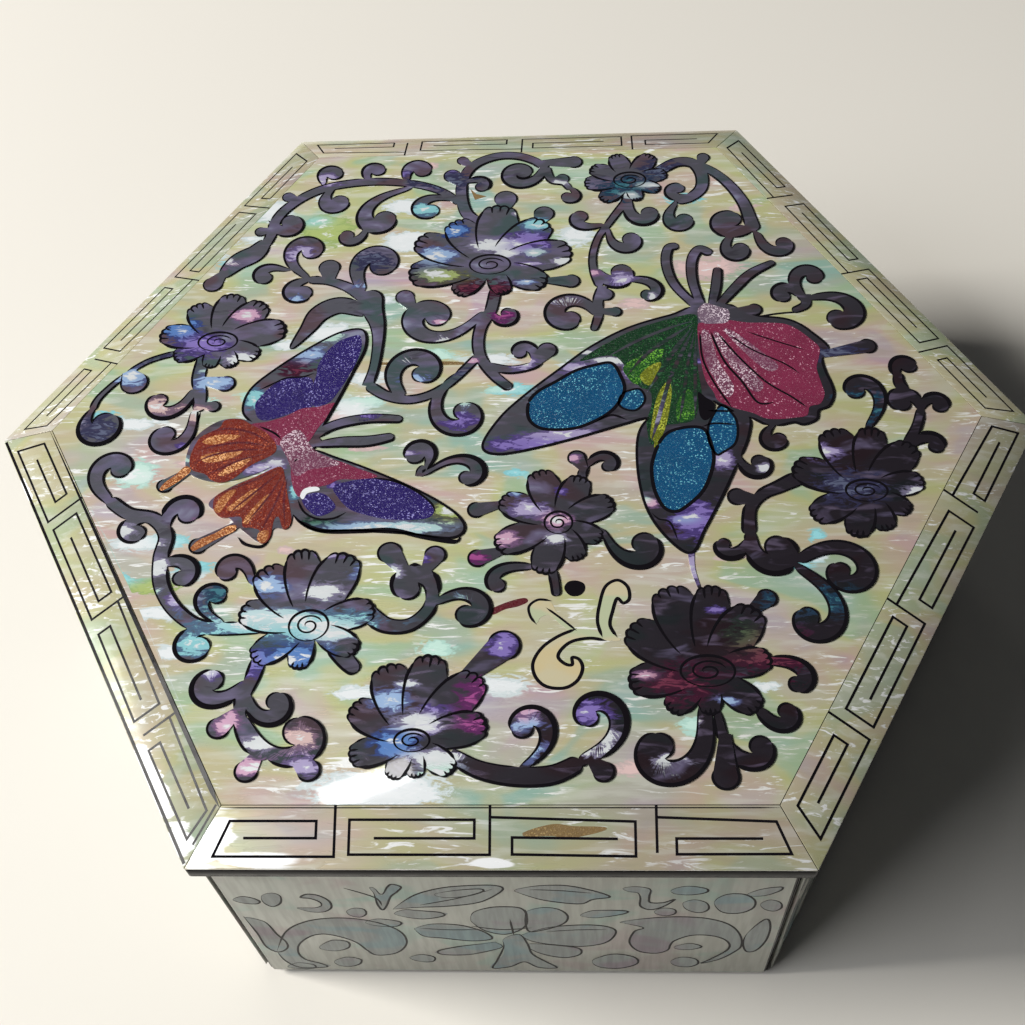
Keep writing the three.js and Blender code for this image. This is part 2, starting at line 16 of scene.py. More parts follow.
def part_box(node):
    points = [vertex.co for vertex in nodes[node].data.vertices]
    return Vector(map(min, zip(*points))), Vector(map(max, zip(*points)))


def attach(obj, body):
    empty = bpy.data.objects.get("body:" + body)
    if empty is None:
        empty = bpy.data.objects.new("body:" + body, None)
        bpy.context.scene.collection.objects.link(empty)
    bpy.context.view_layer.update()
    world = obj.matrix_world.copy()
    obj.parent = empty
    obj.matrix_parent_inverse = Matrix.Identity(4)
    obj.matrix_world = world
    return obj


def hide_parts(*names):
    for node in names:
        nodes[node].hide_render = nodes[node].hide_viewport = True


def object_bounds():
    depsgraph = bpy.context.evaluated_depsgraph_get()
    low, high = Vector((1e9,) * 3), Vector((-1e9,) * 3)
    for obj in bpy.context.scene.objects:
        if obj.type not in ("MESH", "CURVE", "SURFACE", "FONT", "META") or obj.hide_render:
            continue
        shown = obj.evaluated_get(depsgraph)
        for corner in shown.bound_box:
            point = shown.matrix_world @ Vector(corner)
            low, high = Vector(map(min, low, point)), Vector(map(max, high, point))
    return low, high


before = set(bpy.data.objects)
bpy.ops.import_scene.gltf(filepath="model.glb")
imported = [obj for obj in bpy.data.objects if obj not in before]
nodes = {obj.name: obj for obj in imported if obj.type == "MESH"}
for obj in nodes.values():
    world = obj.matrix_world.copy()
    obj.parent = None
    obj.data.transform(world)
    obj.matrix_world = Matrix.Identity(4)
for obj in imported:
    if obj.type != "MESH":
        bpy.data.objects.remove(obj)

MM = 0.001
cad_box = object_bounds()
FIELD_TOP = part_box("field_sheet")[1].z / MM
FIGURE_TOP = cad_box[1].z / MM
SIDES = ["back_right", "back", "back_left", "front_left", "front", "front_right"]
print("box in mm:", [round(v / MM, 2) for v in cad_box[1] - cad_box[0]], "field at", round(FIELD_TOP, 2))

# %% [markdown]
# ## Camera, floor and light
# The camera stands above the front side and looks down on the lid. Its turn is built from three rotations, because
# they read like instructions: roll the camera, tilt it up from looking straight down, then turn it on its stand.

# %% Place the camera
camera_data = bpy.data.cameras.new("camera")
camera_data.lens = 47.38
camera_data.sensor_width = 36
camera_data.clip_start = 0.01
camera = bpy.data.objects.new("camera", camera_data)
bpy.context.scene.collection.objects.link(camera)
TURN, TILT, ROLL = math.radians(5.42), math.radians(34.69), math.radians(-5.15)
aim = Matrix.Rotation(TURN, 3, "Z") @ Matrix.Rotation(TILT, 3, "X") @ Matrix.Rotation(ROLL, 3, "Z")
camera.rotation_euler = aim.to_euler()
camera.location = (0.01087, -0.12035, 0.20189)
bpy.context.scene.camera = camera
print("camera", [round(v, 3) for v in camera.location])

# %% [markdown]
# A shiny lid shows whatever hangs above it, so each light is also a reflection. The broad window stands at the left
# and makes the shadow at the right. A small strip hangs where the lid mirrors it into the camera near the front
# edge. Everything else is a soft grey room.

# %% Lay the floor and hang the lights
def plain_material(name, colour, roughness):
    material = bpy.data.materials.new(name)
    material.use_nodes = True
    shader = material.node_tree.nodes["Principled BSDF"]
    shader.inputs["Base Color"].default_value = (*colour, 1)
    shader.inputs["Roughness"].default_value = roughness
    return material


def hang_light(name, place, target, size, power, colour=(1, 1, 1)):
    data = bpy.data.lights.new(name, "AREA")
    data.shape = "RECTANGLE"
    data.size, data.size_y = size
    data.energy = power
    data.color = colour
    light = bpy.data.objects.new(name, data)
    light.location = place
    light.rotation_euler = (Vector(place) - Vector(target)).to_track_quat("Z", "Y").to_euler()
    bpy.context.scene.collection.objects.link(light)
    return light


bpy.ops.mesh.primitive_plane_add(size=4, location=(0, 0, 0))
floor = bpy.context.object
floor.name = "floor"
floor.data.materials.append(plain_material("floor", (0.74, 0.71, 0.65), 0.7))

lid_middle = (0, 0, FIGURE_TOP * MM)
hang_light("window", (-1.15, 0.03, 0.93), lid_middle, (0.42, 0.42), 28, (1.0, 0.98, 0.94))
hang_light("strip", (-0.175, 0.33, 0.95), (-0.017, -0.055, 0.05), (0.08, 0.02), 0.07)
hang_light("room_lamp", (-1.05, -0.5, 0.95), lid_middle, (0.8, 0.6), 10, (0.95, 0.97, 1.0))
world = bpy.data.worlds.new("room")
world.use_nodes = True
world.node_tree.nodes["Background"].inputs["Color"].default_value = (0.78, 0.8, 0.84, 1)
world.node_tree.nodes["Background"].inputs["Strength"].default_value = 0.05
bpy.context.scene.world = world
bpy.context.scene.view_settings.view_transform = "Standard"
print("lights:", [light.name for light in bpy.data.lights])

# %% [markdown]
# ## Finishes
# Every finish is a small net of shader nodes that reads Object coordinates, so that the pattern stays on the piece
# from every side. These helpers keep the nets short. Coordinates are turned to millimetres first, so that a cloud
# of size 5 really is about 5 mm across.

# %% Helpers for shader nets
def start_finish(name):
    material = bpy.data.materials.new(name)
    material.use_nodes = True
    tree = material.node_tree
    return material, tree, tree.nodes["Principled BSDF"]


def set_shader(shader, **values):
    for name, value in values.items():
        shader.inputs[name.replace("_", " ").title().replace("Ior", "IOR")].default_value = value


def add(tree, kind, **settings):
    node = tree.nodes.new("ShaderNode" + kind)
    for name, value in settings.items():
        setattr(node, name, value)
    return node


def connect(tree, value, socket):
    if isinstance(value, bpy.types.NodeSocket):
        tree.links.new(value, socket)
    else:
        socket.default_value = (*value, 1) if isinstance(value, tuple) and len(value) == 3 else value


def millimetres(tree, stretch=(1, 1, 1), turn=0.0):
    """Object coordinates in millimetres. A stretch of 4 makes features four times as long that way."""
    mapping = add(tree, "Mapping")
    mapping.inputs["Scale"].default_value = [1 / (MM * s) for s in stretch]
    mapping.inputs["Rotation"].default_value = (0, 0, turn)
    connect(tree, add(tree, "TexCoord").outputs["Object"], mapping.inputs["Vector"])
    return mapping.outputs["Vector"]


def cloud(tree, where, size, detail=2.0, twist=0.0, rough=0.5):
    noise = add(tree, "TexNoise")
    inputs = {"Vector": where, "Scale": 1 / size, "Detail": detail, "Roughness": rough, "Distortion": twist}
    for name, value in inputs.items():
        connect(tree, value, noise.inputs[name])
    return noise.outputs["Fac"]


def ramp(tree, value, *stops):
    node = add(tree, "ValToRGB")
    node.color_ramp.interpolation = "EASE"
    elements = node.color_ramp.elements
    while len(elements) < len(stops):
        elements.new(0.5)
    for element, (position, colour) in zip(elements, stops):
        element.position = position
        element.color = (*colour, 1) if isinstance(colour, tuple) else (colour, colour, colour, 1)
    connect(tree, value, node.inputs["Fac"])
    return node.outputs["Color"]


def mix(tree, share, first, second, how="MIX"):
    node = add(tree, "Mix", data_type="RGBA", blend_type=how)
    for value, socket in zip((share, first, second), (node.inputs[0], *node.inputs[6:8])):
        connect(tree, value, socket)
    return node.outputs[2]


def combine(tree, how, first, second, third=None):
    node = add(tree, "Math", operation=how)
    for value, socket in zip((first, second, third), node.inputs):
        if value is not None:
            connect(tree, value, socket)
    return node.outputs[0]


def emboss(tree, shader, height, depth):
    """Bumps the surface by the height, which runs from 0 to 1, over a depth in millimetres."""
    bump = add(tree, "Bump")
    bump.inputs["Distance"].default_value = depth * MM
    connect(tree, height, bump.inputs["Height"])
    connect(tree, bump.outputs["Normal"], shader.inputs["Normal"])


# %% [markdown]
# Black lacquer is the wood's finish, and the same black fills the lines. It is near black, with faint brush waves
# and a little dust that dulls it here and there. It could have a clear polish too, but the wood and the lines lie
# so close to the light's mirror direction that a polish would turn them white, so they get next to none.

# %% Black lacquer
def lacquer_finish(name, brown, polish, gloss):
    material, tree, shader = start_finish(name)
    where = millimetres(tree)
    connect(tree, mix(tree, cloud(tree, where, 9, 4), (0.006, 0.006, 0.008), brown), shader.inputs["Base Color"])
    connect(tree, ramp(tree, cloud(tree, where, 2.5, 5), (0.3, 0.12), (0.8, 0.3)), shader.inputs["Roughness"])
    set_shader(shader, coat_weight=polish, coat_roughness=0.04, specular_ior_level=gloss)
    emboss(tree, shader, cloud(tree, where, 6, 2), 0.05)
    return material


LACQUER = lacquer_finish("lacquer", (0.02, 0.014, 0.013), polish=0.0, gloss=0.2)
EDGE_LACQUER = lacquer_finish("edge_lacquer", (0.006, 0.005, 0.005), polish=0.0, gloss=0.04)
INK = lacquer_finish("ink", (0.008, 0.006, 0.008), polish=0.02, gloss=0.03)
print("lacquers:", LACQUER.name, EDGE_LACQUER.name, INK.name)

# %% [markdown]
# Pale shell is cream, with drifts of yellow green, mint, rose and lilac, and fine bright grain that runs one way.
# One cloud picks the colour, a second shifts it, long thin clouds give the grain, and a clear coat lies over all.
# Small white sparks on top are painted glints. Where the piece carries the colour attribute of painted highlights and
# tints, the shell takes their colours, broken up by its grain, and it is painted darker towards the front right as
# painted shade. A border strip has too few points to carry an attribute, so its painted highlights are ellipses in
# the finish itself.

# %% Pale shell
def step(tree, value, low, high):
    share = add(tree, "MapRange", interpolation_type="SMOOTHSTEP")
    for given, socket in zip((value, low, high), share.inputs):
        connect(tree, given, socket)
    return share.outputs[0]


def add_painted_highlights_and_tints(tree, base, rim_tint):
    """Lays the painted highlights and tints of a piece over its base colour: a deep rim, the hue itself, and a white
    core.
    """
    paint = add(tree, "Attribute", attribute_name="highlights_and_tints")
    hue, power = paint.outputs["Color"], paint.outputs["Alpha"]
    layers = cloud(tree, millimetres(tree, (2.6, 1, 1), 0.06), 0.9, 4, 0.8, 0.65)
    broken = combine(tree, "MULTIPLY_ADD", layers, 1.9, combine(tree, "SUBTRACT", power, 0.95))
    rim = mix(tree, 1.0, hue, rim_tint, "MULTIPLY")
    shown = combine(tree, "MULTIPLY", step(tree, power, 0.04, 0.2), step(tree, broken, 0.12, 0.34))
    base = mix(tree, shown, base, rim)
    shown = combine(tree, "MULTIPLY", step(tree, power, 0.08, 0.3), step(tree, broken, 0.42, 0.56))
    base = mix(tree, shown, base, hue)
    shown = combine(tree, "MULTIPLY", step(tree, power, 0.4, 0.8), step(tree, broken, 0.86, 1.08))
    return mix(tree, shown, base, (0.90, 0.93, 0.95))


def towards_front_right(tree, lean, near, far):
    """Rises from 0 to 1 across the lid towards its front right, between two distances in millimetres."""
    place = add(tree, "SeparateXYZ")
    connect(tree, millimetres(tree), place.inputs[0])
    return step(tree, combine(tree, "MULTIPLY_ADD", place.outputs[1], -lean, place.outputs[0]), near, far)


def spot(tree, x, y, along, across, turn):
    """1 at a place on the piece, falling to 0 at the rim of an ellipse round it."""
    mapping = add(tree, "Mapping", vector_type="TEXTURE")
    mapping.inputs["Location"].default_value = (x * MM, y * MM, 0)
    mapping.inputs["Rotation"].default_value = (0, 0, math.radians(turn))
    mapping.inputs["Scale"].default_value = (along * MM, across * MM, 100)
    connect(tree, add(tree, "TexCoord").outputs["Object"], mapping.inputs["Vector"])
    length = add(tree, "VectorMath", operation="LENGTH")
    connect(tree, mapping.outputs["Vector"], length.inputs[0])
    return step(tree, length.outputs["Value"], 1.0, 0.2)


def pale_shell_finish(name, turn=0.0, shade=1.0, flashes=True, sand=0.0, polish=1.0, spots=()):
    material, tree, shader = start_finish(name)
    drift = cloud(tree, millimetres(tree, (1.9, 1, 1), turn), 11, 2.5, 0.8)
    other = cloud(tree, millimetres(tree, (2.2, 1, 1), turn + 0.1), 15, 2, 1.0)
    grain = cloud(tree, millimetres(tree, (7, 1, 1), turn), 1.2, 4, 0.6)
    hues = ramp(tree, drift, (0.28, (0.50, 0.36, 0.50)), (0.36, (0.62, 0.45, 0.42)), (0.43, (0.60, 0.54, 0.34)),
                (0.52, (0.53, 0.59, 0.22)), (0.60, (0.27, 0.56, 0.34)), (0.72, (0.30, 0.60, 0.52)))
    others = ramp(tree, other, (0.32, (0.60, 0.62, 0.58)), (0.44, (0.58, 0.54, 0.36)), (0.54, (0.62, 0.44, 0.44)),
                  (0.66, (0.40, 0.46, 0.56)))
    base = mix(tree, 0.44, hues, others)
    if sand:
        base = mix(tree, sand, base, (0.50, 0.47, 0.29))
    base = mix(tree, ramp(tree, grain, (0.46, 0.0), (0.7, 0.4)), base, (0.80, 0.82, 0.74))
    base = mix(tree, ramp(tree, grain, (0.3, 0.22), (0.42, 0.0)), base, (0.40, 0.36, 0.27))
    # Painted glints: small white sparks, laid into the colour in patches.
    painted_glints = cloud(tree, millimetres(tree, (7, 1, 1), turn + 0.12), 0.8, 4, 1.2, 0.6)
    where_painted_glints = ramp(tree, cloud(tree, millimetres(tree, (1.6, 1, 1)), 8, 2, 0.5), (0.44, 0.0), (0.56, 1.0))
    base = mix(tree, combine(tree, "MULTIPLY", ramp(tree, painted_glints, (0.56, 0.0), (0.64, 1.0)), where_painted_glints), base,
               (0.97, 0.98, 0.97))
    if flashes:
        # Painted shade: the field darkens towards the front right, where the light falls off.
        painted_falloff_shade = towards_front_right(tree, 0.4, -10, 75)
        base = mix(tree, painted_falloff_shade, base, mix(tree, 1.0, base, (0.74, 0.73, 0.70), "MULTIPLY"))
        base = add_painted_highlights_and_tints(tree, base, (0.80, 0.86, 0.86))
    base = mix(tree, 1.0, base, (shade, shade, shade), "MULTIPLY")
    # Painted highlights: white spots where the light glares on a border strip, broken up by the grain.
    for place in spots:
        broken = combine(tree, "MULTIPLY_ADD", grain, 1.6, combine(tree, "SUBTRACT", spot(tree, *place), 1.3))
        base = mix(tree, step(tree, broken, 0.0, 0.25), base, (0.97, 0.98, 0.99))
    connect(tree, base, shader.inputs["Base Color"])
    connect(tree, ramp(tree, grain, (0.3, 0.34), (0.7, 0.2)), shader.inputs["Roughness"])
    set_shader(shader, metallic=0.15 * polish, coat_weight=polish, coat_roughness=0.03,
               specular_ior_level=0.1 + 0.4 * polish)
    emboss(tree, shader, cloud(tree, millimetres(tree, (2.5, 1, 1), turn), 3.0, 3), 0.025)
    return material


PALE_SHELL = pale_shell_finish("pale_shell")
print("pale shell:", len(PALE_SHELL.node_tree.nodes), "nodes")

# %% [markdown]
# A few loose scrolls on the field are cut from a quiet stretch of the same shell, so they get a finish with the
# cream and the sand but without the drifts of colour.

# %% Cream shell
def cream_shell_finish(name):
    """A quiet piece of the same shell: only cream and sand, with faint grain."""
    material, tree, shader = start_finish(name)
    drift = cloud(tree, millimetres(tree, (1.6, 1, 1), 0.5), 5, 3, 0.6)
    base = ramp(tree, drift, (0.36, (0.62, 0.52, 0.30)), (0.5, (0.60, 0.54, 0.36)), (0.64, (0.50, 0.55, 0.36)))
    connect(tree, base, shader.inputs["Base Color"])
    connect(tree, ramp(tree, drift, (0.3, 0.34), (0.7, 0.22)), shader.inputs["Roughness"])
    set_shader(shader, metallic=0.1, coat_weight=1.0, coat_roughness=0.03)
    emboss(tree, shader, drift, 0.02)
    return material


CREAM_SHELL = cream_shell_finish("cream_shell")
print("cream shell:", len(CREAM_SHELL.node_tree.nodes), "nodes")

# %% [markdown]
# Dark shell is the same material in slate, plum and teal, dyed and cut thin. It is partly metallic. Its colour
# carries painted highlights where the light would meet its layers, and painted shade that takes it nearly black
# towards the front right, where little light comes back.

# %% Dark shell
def dark_shell_finish(name, slate=(0.118, 0.118, 0.146), plum=(0.128, 0.084, 0.104), teal=(0.080, 0.120, 0.128)):
    material, tree, shader = start_finish(name)
    drift = cloud(tree, millimetres(tree, (2.0, 1, 1), 0.1), 7, 2, 0.5)
    grain = cloud(tree, millimetres(tree, (3.5, 1, 1)), 1.6, 3, 0.7)
    base = ramp(tree, drift, (0.36, teal), (0.45, slate), (0.54, slate), (0.63, plum))
    glow = cloud(tree, millimetres(tree, (2.2, 1, 1), 0.05), 3.5, 3, 0.6)
    # Painted shade: darker and with less shimmer towards the front right, where the light falls off.
    painted_falloff_shade = towards_front_right(tree, 0.8, -30, 60)
    glow = combine(tree, "SUBTRACT", glow, combine(tree, "MULTIPLY", painted_falloff_shade, 0.13))
    base = mix(tree, painted_falloff_shade, base, mix(tree, 1.0, base, (0.17, 0.13, 0.15), "MULTIPLY"))
    base = mix(tree, ramp(tree, glow, (0.48, 0.0), (0.66, 0.75)), base, (0.20, 0.17, 0.30))
    base = mix(tree, ramp(tree, glow, (0.62, 0.0), (0.78, 0.7)), base, (0.42, 0.46, 0.62))
    base = mix(tree, ramp(tree, grain, (0.55, 0.0), (0.75, 0.4)), base, (0.28, 0.22, 0.36))
    base = mix(tree, ramp(tree, grain, (0.28, 0.5), (0.42, 0.0)), base, (0.018, 0.012, 0.022))
    connect(tree, add_painted_highlights_and_tints(tree, base, (0.30, 0.26, 0.39)), shader.inputs["Base Color"])
    connect(tree, ramp(tree, grain, (0.3, 0.42), (0.7, 0.26)), shader.inputs["Roughness"])
    set_shader(shader, metallic=0.35, coat_weight=1.0, coat_roughness=0.03)
    emboss(tree, shader, cloud(tree, millimetres(tree, (1.5, 1, 1)), 3.2, 3), 0.05)
    return material


DARK_SHELL = dark_shell_finish("dark_shell")
print("dark shell:", len(DARK_SHELL.node_tree.nodes), "nodes")

# %% [markdown]
# Grey shell covers the upright sides. It is duller, with faint green and rose in it and an upright grain. The same
# finish in darker colours gives the smoky shell of the drawing on the sides.

# %% Grey shell
def grey_shell_finish(name, light, dark, blue):
    material, tree, shader = start_finish(name)
    drift = cloud(tree, millimetres(tree, (1.4, 1.4, 1)), 8, 2.5, 0.5)
    grain = cloud(tree, millimetres(tree, (0.8, 0.8, 9)), 1.0, 4)
    base = ramp(tree, drift, (0.32, blue), (0.45, light), (0.56, light), (0.7, dark))
    base = mix(tree, ramp(tree, grain, (0.35, 0.25), (0.65, 0.0)), base, tuple(0.6 * part for part in dark))
    connect(tree, base, shader.inputs["Base Color"])
    connect(tree, ramp(tree, grain, (0.3, 0.5), (0.7, 0.34)), shader.inputs["Roughness"])
    set_shader(shader, metallic=0.05, coat_weight=0.2, coat_roughness=0.12, specular_ior_level=0.3)
    emboss(tree, shader, grain, 0.012)
    return material


GREY_SHELL = grey_shell_finish("grey_shell", (0.41, 0.42, 0.37), (0.38, 0.33, 0.31), (0.31, 0.41, 0.35))
SMOKE_SHELL = grey_shell_finish("smoke_shell", (0.22, 0.25, 0.24), (0.21, 0.17, 0.20), (0.14, 0.24, 0.26))
print("upright shells:", GREY_SHELL.name, SMOKE_SHELL.name)

# %% [markdown]
# Glitter paint is a clear binder full of small metal flakes. A cell pattern gives every flake its own chance of
# catching the light, and only the lucky ones are bright.

# %% Glitter paint
def glitter_finish(name, body, flake, many=0.3, grain_size=0.16, metal=0.0):
    material, tree, shader = start_finish(name)
    where = millimetres(tree)
    flakes = add(tree, "TexVoronoi")
    connect(tree, where, flakes.inputs["Vector"])
    connect(tree, 1 / grain_size, flakes.inputs["Scale"])
    luck = add(tree, "SeparateColor")
    connect(tree, flakes.outputs["Color"], luck.inputs[0])
    drift = ramp(tree, cloud(tree, where, 5, 2), (0.35, 0.15), (0.65, 1.0))
    lucky = ramp(tree, luck.outputs[0], (1 - many, 0.0), (min(1 - many * 0.6, 0.99), 1.0))
    shown = combine(tree, "MULTIPLY", lucky, drift)
    dark = mix(tree, cloud(tree, where, 4, 3), body, tuple(0.6 * part for part in body))
    connect(tree, mix(tree, shown, dark, flake), shader.inputs["Base Color"])
    connect(tree, ramp(tree, luck.outputs[1], (0.0, 0.25), (1.0, 0.5)), shader.inputs["Roughness"])
    set_shader(shader, metallic=metal, coat_weight=1.0, coat_roughness=0.05)
    emboss(tree, shader, luck.outputs[2], 0.02)
    return material


SEA_BLUE = glitter_finish("sea_blue_glitter", (0.003, 0.085, 0.21), (0.20, 0.62, 0.72), 0.10)
NAVY = glitter_finish("navy_glitter", (0.024, 0.012, 0.14), (0.30, 0.28, 0.62), 0.12)
ROSE = glitter_finish("rose_paint", (0.24, 0.026, 0.075), (0.66, 0.34, 0.44), 0.06)
ROSE_FLAKE = glitter_finish("rose_glitter", (0.20, 0.055, 0.11), (0.84, 0.68, 0.76), 0.36)
DEEP_GREEN = glitter_finish("deep_green_paint", (0.006, 0.040, 0.014), (0.04, 0.20, 0.05), 0.12)
GREEN = glitter_finish("green_glitter", (0.012, 0.085, 0.012), (0.18, 0.48, 0.05), 0.30)
YELLOW = glitter_finish("yellow_glitter", (0.14, 0.16, 0.008), (0.62, 0.68, 0.08), 0.42)
COPPER = glitter_finish("copper_paint", (0.21, 0.022, 0.012), (0.50, 0.12, 0.05), 0.12)
GOLD = glitter_finish("gold_glitter", (0.36, 0.10, 0.025), (0.95, 0.50, 0.22), 0.42)
DRIED_RED = glitter_finish("dried_red_paint", (0.12, 0.012, 0.02), (0.2, 0.03, 0.04), 0.05)
BROWN_FLAW = glitter_finish("brown_flaw", (0.26, 0.17, 0.07), (0.4, 0.28, 0.12), 0.2)
LILAC = glitter_finish("lilac_glitter", (0.20, 0.13, 0.19), (0.85, 0.72, 0.80), 0.30)
print("finishes:", len(bpy.data.materials))

# %% [markdown]
# ## Boards and sheets
# The boards and sheets are right as they are, apart from their knife-sharp edges. Lacquered wood and polished shell
# have small soft edges that catch the light. A copy of each piece is merged to clean faces, its edges are bevelled
# with a modifier, and the copy then stands for the original.

# %% Soften the edges of the boards and sheets
def deselect_all():
    bpy.ops.object.select_all(action="DESELECT")


def choose(piece):
    deselect_all()
    piece.hide_set(False)
    piece.select_set(True)
    bpy.context.view_layer.objects.active = piece


def finish_piece(piece, material, slot, *stands_for):
    piece.data.materials.clear()
    piece.data.materials.append(material)
    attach(piece, "root")
    if stands_for:
        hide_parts(*stands_for)
    return piece


def soften(node_name, edge, material, slot):
    source = nodes[node_name]
    mesh = bpy.data.meshes.new(node_name + "_soft")
    mesh.from_pydata([v.co[:] for v in source.data.vertices], [], [p.vertices[:] for p in source.data.polygons])
    piece = bpy.data.objects.new(node_name + "_soft", mesh)
    bpy.context.scene.collection.objects.link(piece)
    choose(piece)
    bpy.ops.object.mode_set(mode="EDIT")
    bpy.ops.mesh.select_all(action="SELECT")
    bpy.ops.mesh.remove_doubles(threshold=0.001 * MM)
    bpy.ops.mesh.dissolve_limited(angle_limit=math.radians(1))
    bpy.ops.object.mode_set(mode="OBJECT")
    bevel = piece.modifiers.new("edge", "BEVEL")
    bevel.width = edge * MM
    bevel.segments = 2
    bevel.limit_method = "ANGLE"
    bevel.angle_limit = math.radians(20)
    bpy.ops.object.modifier_apply(modifier=bevel.name)
    bpy.ops.object.shade_smooth_by_angle(angle=math.radians(35))
    return finish_piece(piece, material, slot, node_name)


soften("lid_board", 0.3, EDGE_LACQUER, "lacquer")
for way in SIDES:
    soften("wall_" + way, 0.25, LACQUER, "lacquer")
    soften("side_panel_" + way, 0.12, GREY_SHELL, "grey_shell")
hidden_wood = ["floor_board"] + ["locating_strip_" + way for way in SIDES]
for node_name in hidden_wood:
    nodes[node_name].data.materials.clear()
    nodes[node_name].data.materials.append(LACQUER)
print("softened:", 1 + 2 * len(SIDES), "lacquered as they are:", len(hidden_wood))

# %% [markdown]
# The border strips are cut from different places of the shell, and each has its own brightness, partly its shell's
# and partly painted shade for how the light falls on its slope. Its grain runs along the strip. Two of them have
# painted highlights, bright spots each given by its place, its two reaches and its turn.

# %% Border strips
# Brightness of each strip: partly its shell, partly painted shade for the light on its slope.
BORDER_SHADE = dict(back_right=0.95, back=1.05, back_left=1.0, front_left=0.76, front=0.85, front_right=0.75)
# Painted highlights on two strips: place, reach along, reach across, turn.
BORDER_HIGHLIGHT_SPOTS = dict(
    front_left=[(-43, -54, 12, 2.4, -60), (-38.6, -61.5, 5, 3.2, -60), (-69.5, -9, 5, 1.0, -60)],
    front=[(-34.6, -62, 7, 4.2, 60), (-29, -63.9, 10, 1.5, 0), (-0.5, -64.3, 4.5, 0.9, 0)],
)
BORDER_SHELL = {}
for number, way in enumerate(SIDES):
    along = math.radians(60 * number + 120)
    BORDER_SHELL[way] = pale_shell_finish("border_shell_" + way, -along, BORDER_SHADE[way], False, 0.45,
                                         0.05 if way == "front_left" else 1.0, BORDER_HIGHLIGHT_SPOTS.get(way, ()))
    soften("border_strip_" + way, 0.08, BORDER_SHELL[way], "pale_shell")
print("border strips:", len(BORDER_SHELL))

# %% [markdown]
# ## Cutting thin sheets
# All the figures are thin flat cut-outs. Each is drawn as a few simple shapes that overlap, in millimetres. A
# triangulation merges the shapes to one flat net, which edit mode then extrudes to a closed sheet. That keeps every
# outline exact where booleans on forty thin pieces might fail. Extra points inside the net carry the painted
# highlights and tints.

# %% Merge outlines and raise them
# Extra points lie in rows of near-equilateral triangles. An outline below the least area counts as nothing.
ROW_STEP, LEAST_AREA = 0.866, 2e-4


def inside(points, outline):
    """Which points lie inside a closed outline, by counting how often it winds round them."""
    a, b = outline, np.roll(outline, -1, axis=0)
    x, y = points[:, None, 0], points[:, None, 1]
    side = (b[:, 0] - a[:, 0]) * (y - a[:, 1]) - (x - a[:, 0]) * (b[:, 1] - a[:, 1])
    up = (a[:, 1] <= y) & (b[:, 1] > y) & (side > 0)
    down = (a[:, 1] > y) & (b[:, 1] <= y) & (side < 0)
    return (up.sum(1) - down.sum(1)) != 0


def turned_left(shape):
    """The outline in the order that keeps its inside on the left, or None when it has no area."""
    x, y = np.asarray(shape, float).T
    area = np.sum(x * np.roll(y, -1) - np.roll(x, -1) * y) / 2
    if abs(area) < LEAST_AREA:
        return None
    return shape if area > 0 else shape[::-1]


def merge(shapes, grain=0.0):
    """Overlapping outlines become one flat net of triangles: its points and faces."""
    points, faces = [], []
    shapes = [np.asarray(shape, float) for shape in map(turned_left, shapes) if shape is not None]
    for shape in shapes:
        faces.append(list(range(len(points), len(points) + len(shape))))
        points.extend(Vector((float(x), float(y))) for x, y in shape)
    if grain:
        corners = np.array([p[:] for p in points])
        low, high = corners.min(0), corners.max(0)
        for row, y in enumerate(np.arange(low[1], high[1], grain * ROW_STEP)):
            start = low[0] + (row % 2) * grain / 2
            points.extend(Vector((float(x), float(y))) for x in np.arange(start, high[0], grain))
    net_points, _, net_faces, _, _, origins = delaunay_2d_cdt(points, [], faces, 0, 1e-4)
    spots = np.array([p[:] for p in net_points])
    centres = np.array([spots[face].mean(0) for face in net_faces])
    claims = {}
    for index, origin in enumerate(origins):
        for shape_number in origin:
            claims.setdefault(shape_number, []).append(index)
    covered = np.zeros(len(net_faces), bool)
    for shape_number, claimed in claims.items():
        claimed = np.array(claimed)[~covered[claimed]]
        covered[claimed] = inside(centres[claimed], shapes[shape_number])
    kept = [face for face, keep in zip(net_faces, covered) if keep]
    used = sorted({index for face in kept for index in face})
    place = {old: new for new, old in enumerate(used)}
    return [net_points[index] for index in used], [[place[index] for index in face] for face in kept]


def raise_sheet(name, shapes, low, high, material, slot, stands_for=(), placed=None, grain=0.0):
    """Overlapping outlines become one closed sheet between two heights in millimetres."""
    points, faces = merge(shapes, grain)
    mesh = bpy.data.meshes.new(name)
    mesh.from_pydata([(p.x * MM, p.y * MM, low * MM) for p in points], [], faces)
    piece = bpy.data.objects.new(name, mesh)
    bpy.context.scene.collection.objects.link(piece)
    choose(piece)
    bpy.ops.object.mode_set(mode="EDIT")
    bpy.ops.mesh.select_all(action="SELECT")
    bpy.ops.mesh.extrude_region_move(TRANSFORM_OT_translate={"value": (0, 0, (high - low) * MM)})
    bpy.ops.mesh.select_all(action="SELECT")
    bpy.ops.mesh.normals_make_consistent(inside=False)
    bpy.ops.object.mode_set(mode="OBJECT")
    if placed is not None:
        mesh.transform(placed)
    return finish_piece(piece, material, slot, *stands_for)


squares = [np.array([(x, 0), (x + 2, 0), (x + 2, 2), (x, 2)]) for x in (0, 1)]
print("two overlapping squares merge to", len(merge(squares)[1]), "faces")

# %% [markdown]
# ## Lines and shapes of the drawing
# The cutter draws with a few gestures: a stem that swells, a scroll that winds in on its eye, a lobe with a round
# head, a petal with a notched end, and a wing. A stem and a scroll are bands between two edges. The other three are
# closed outlines.

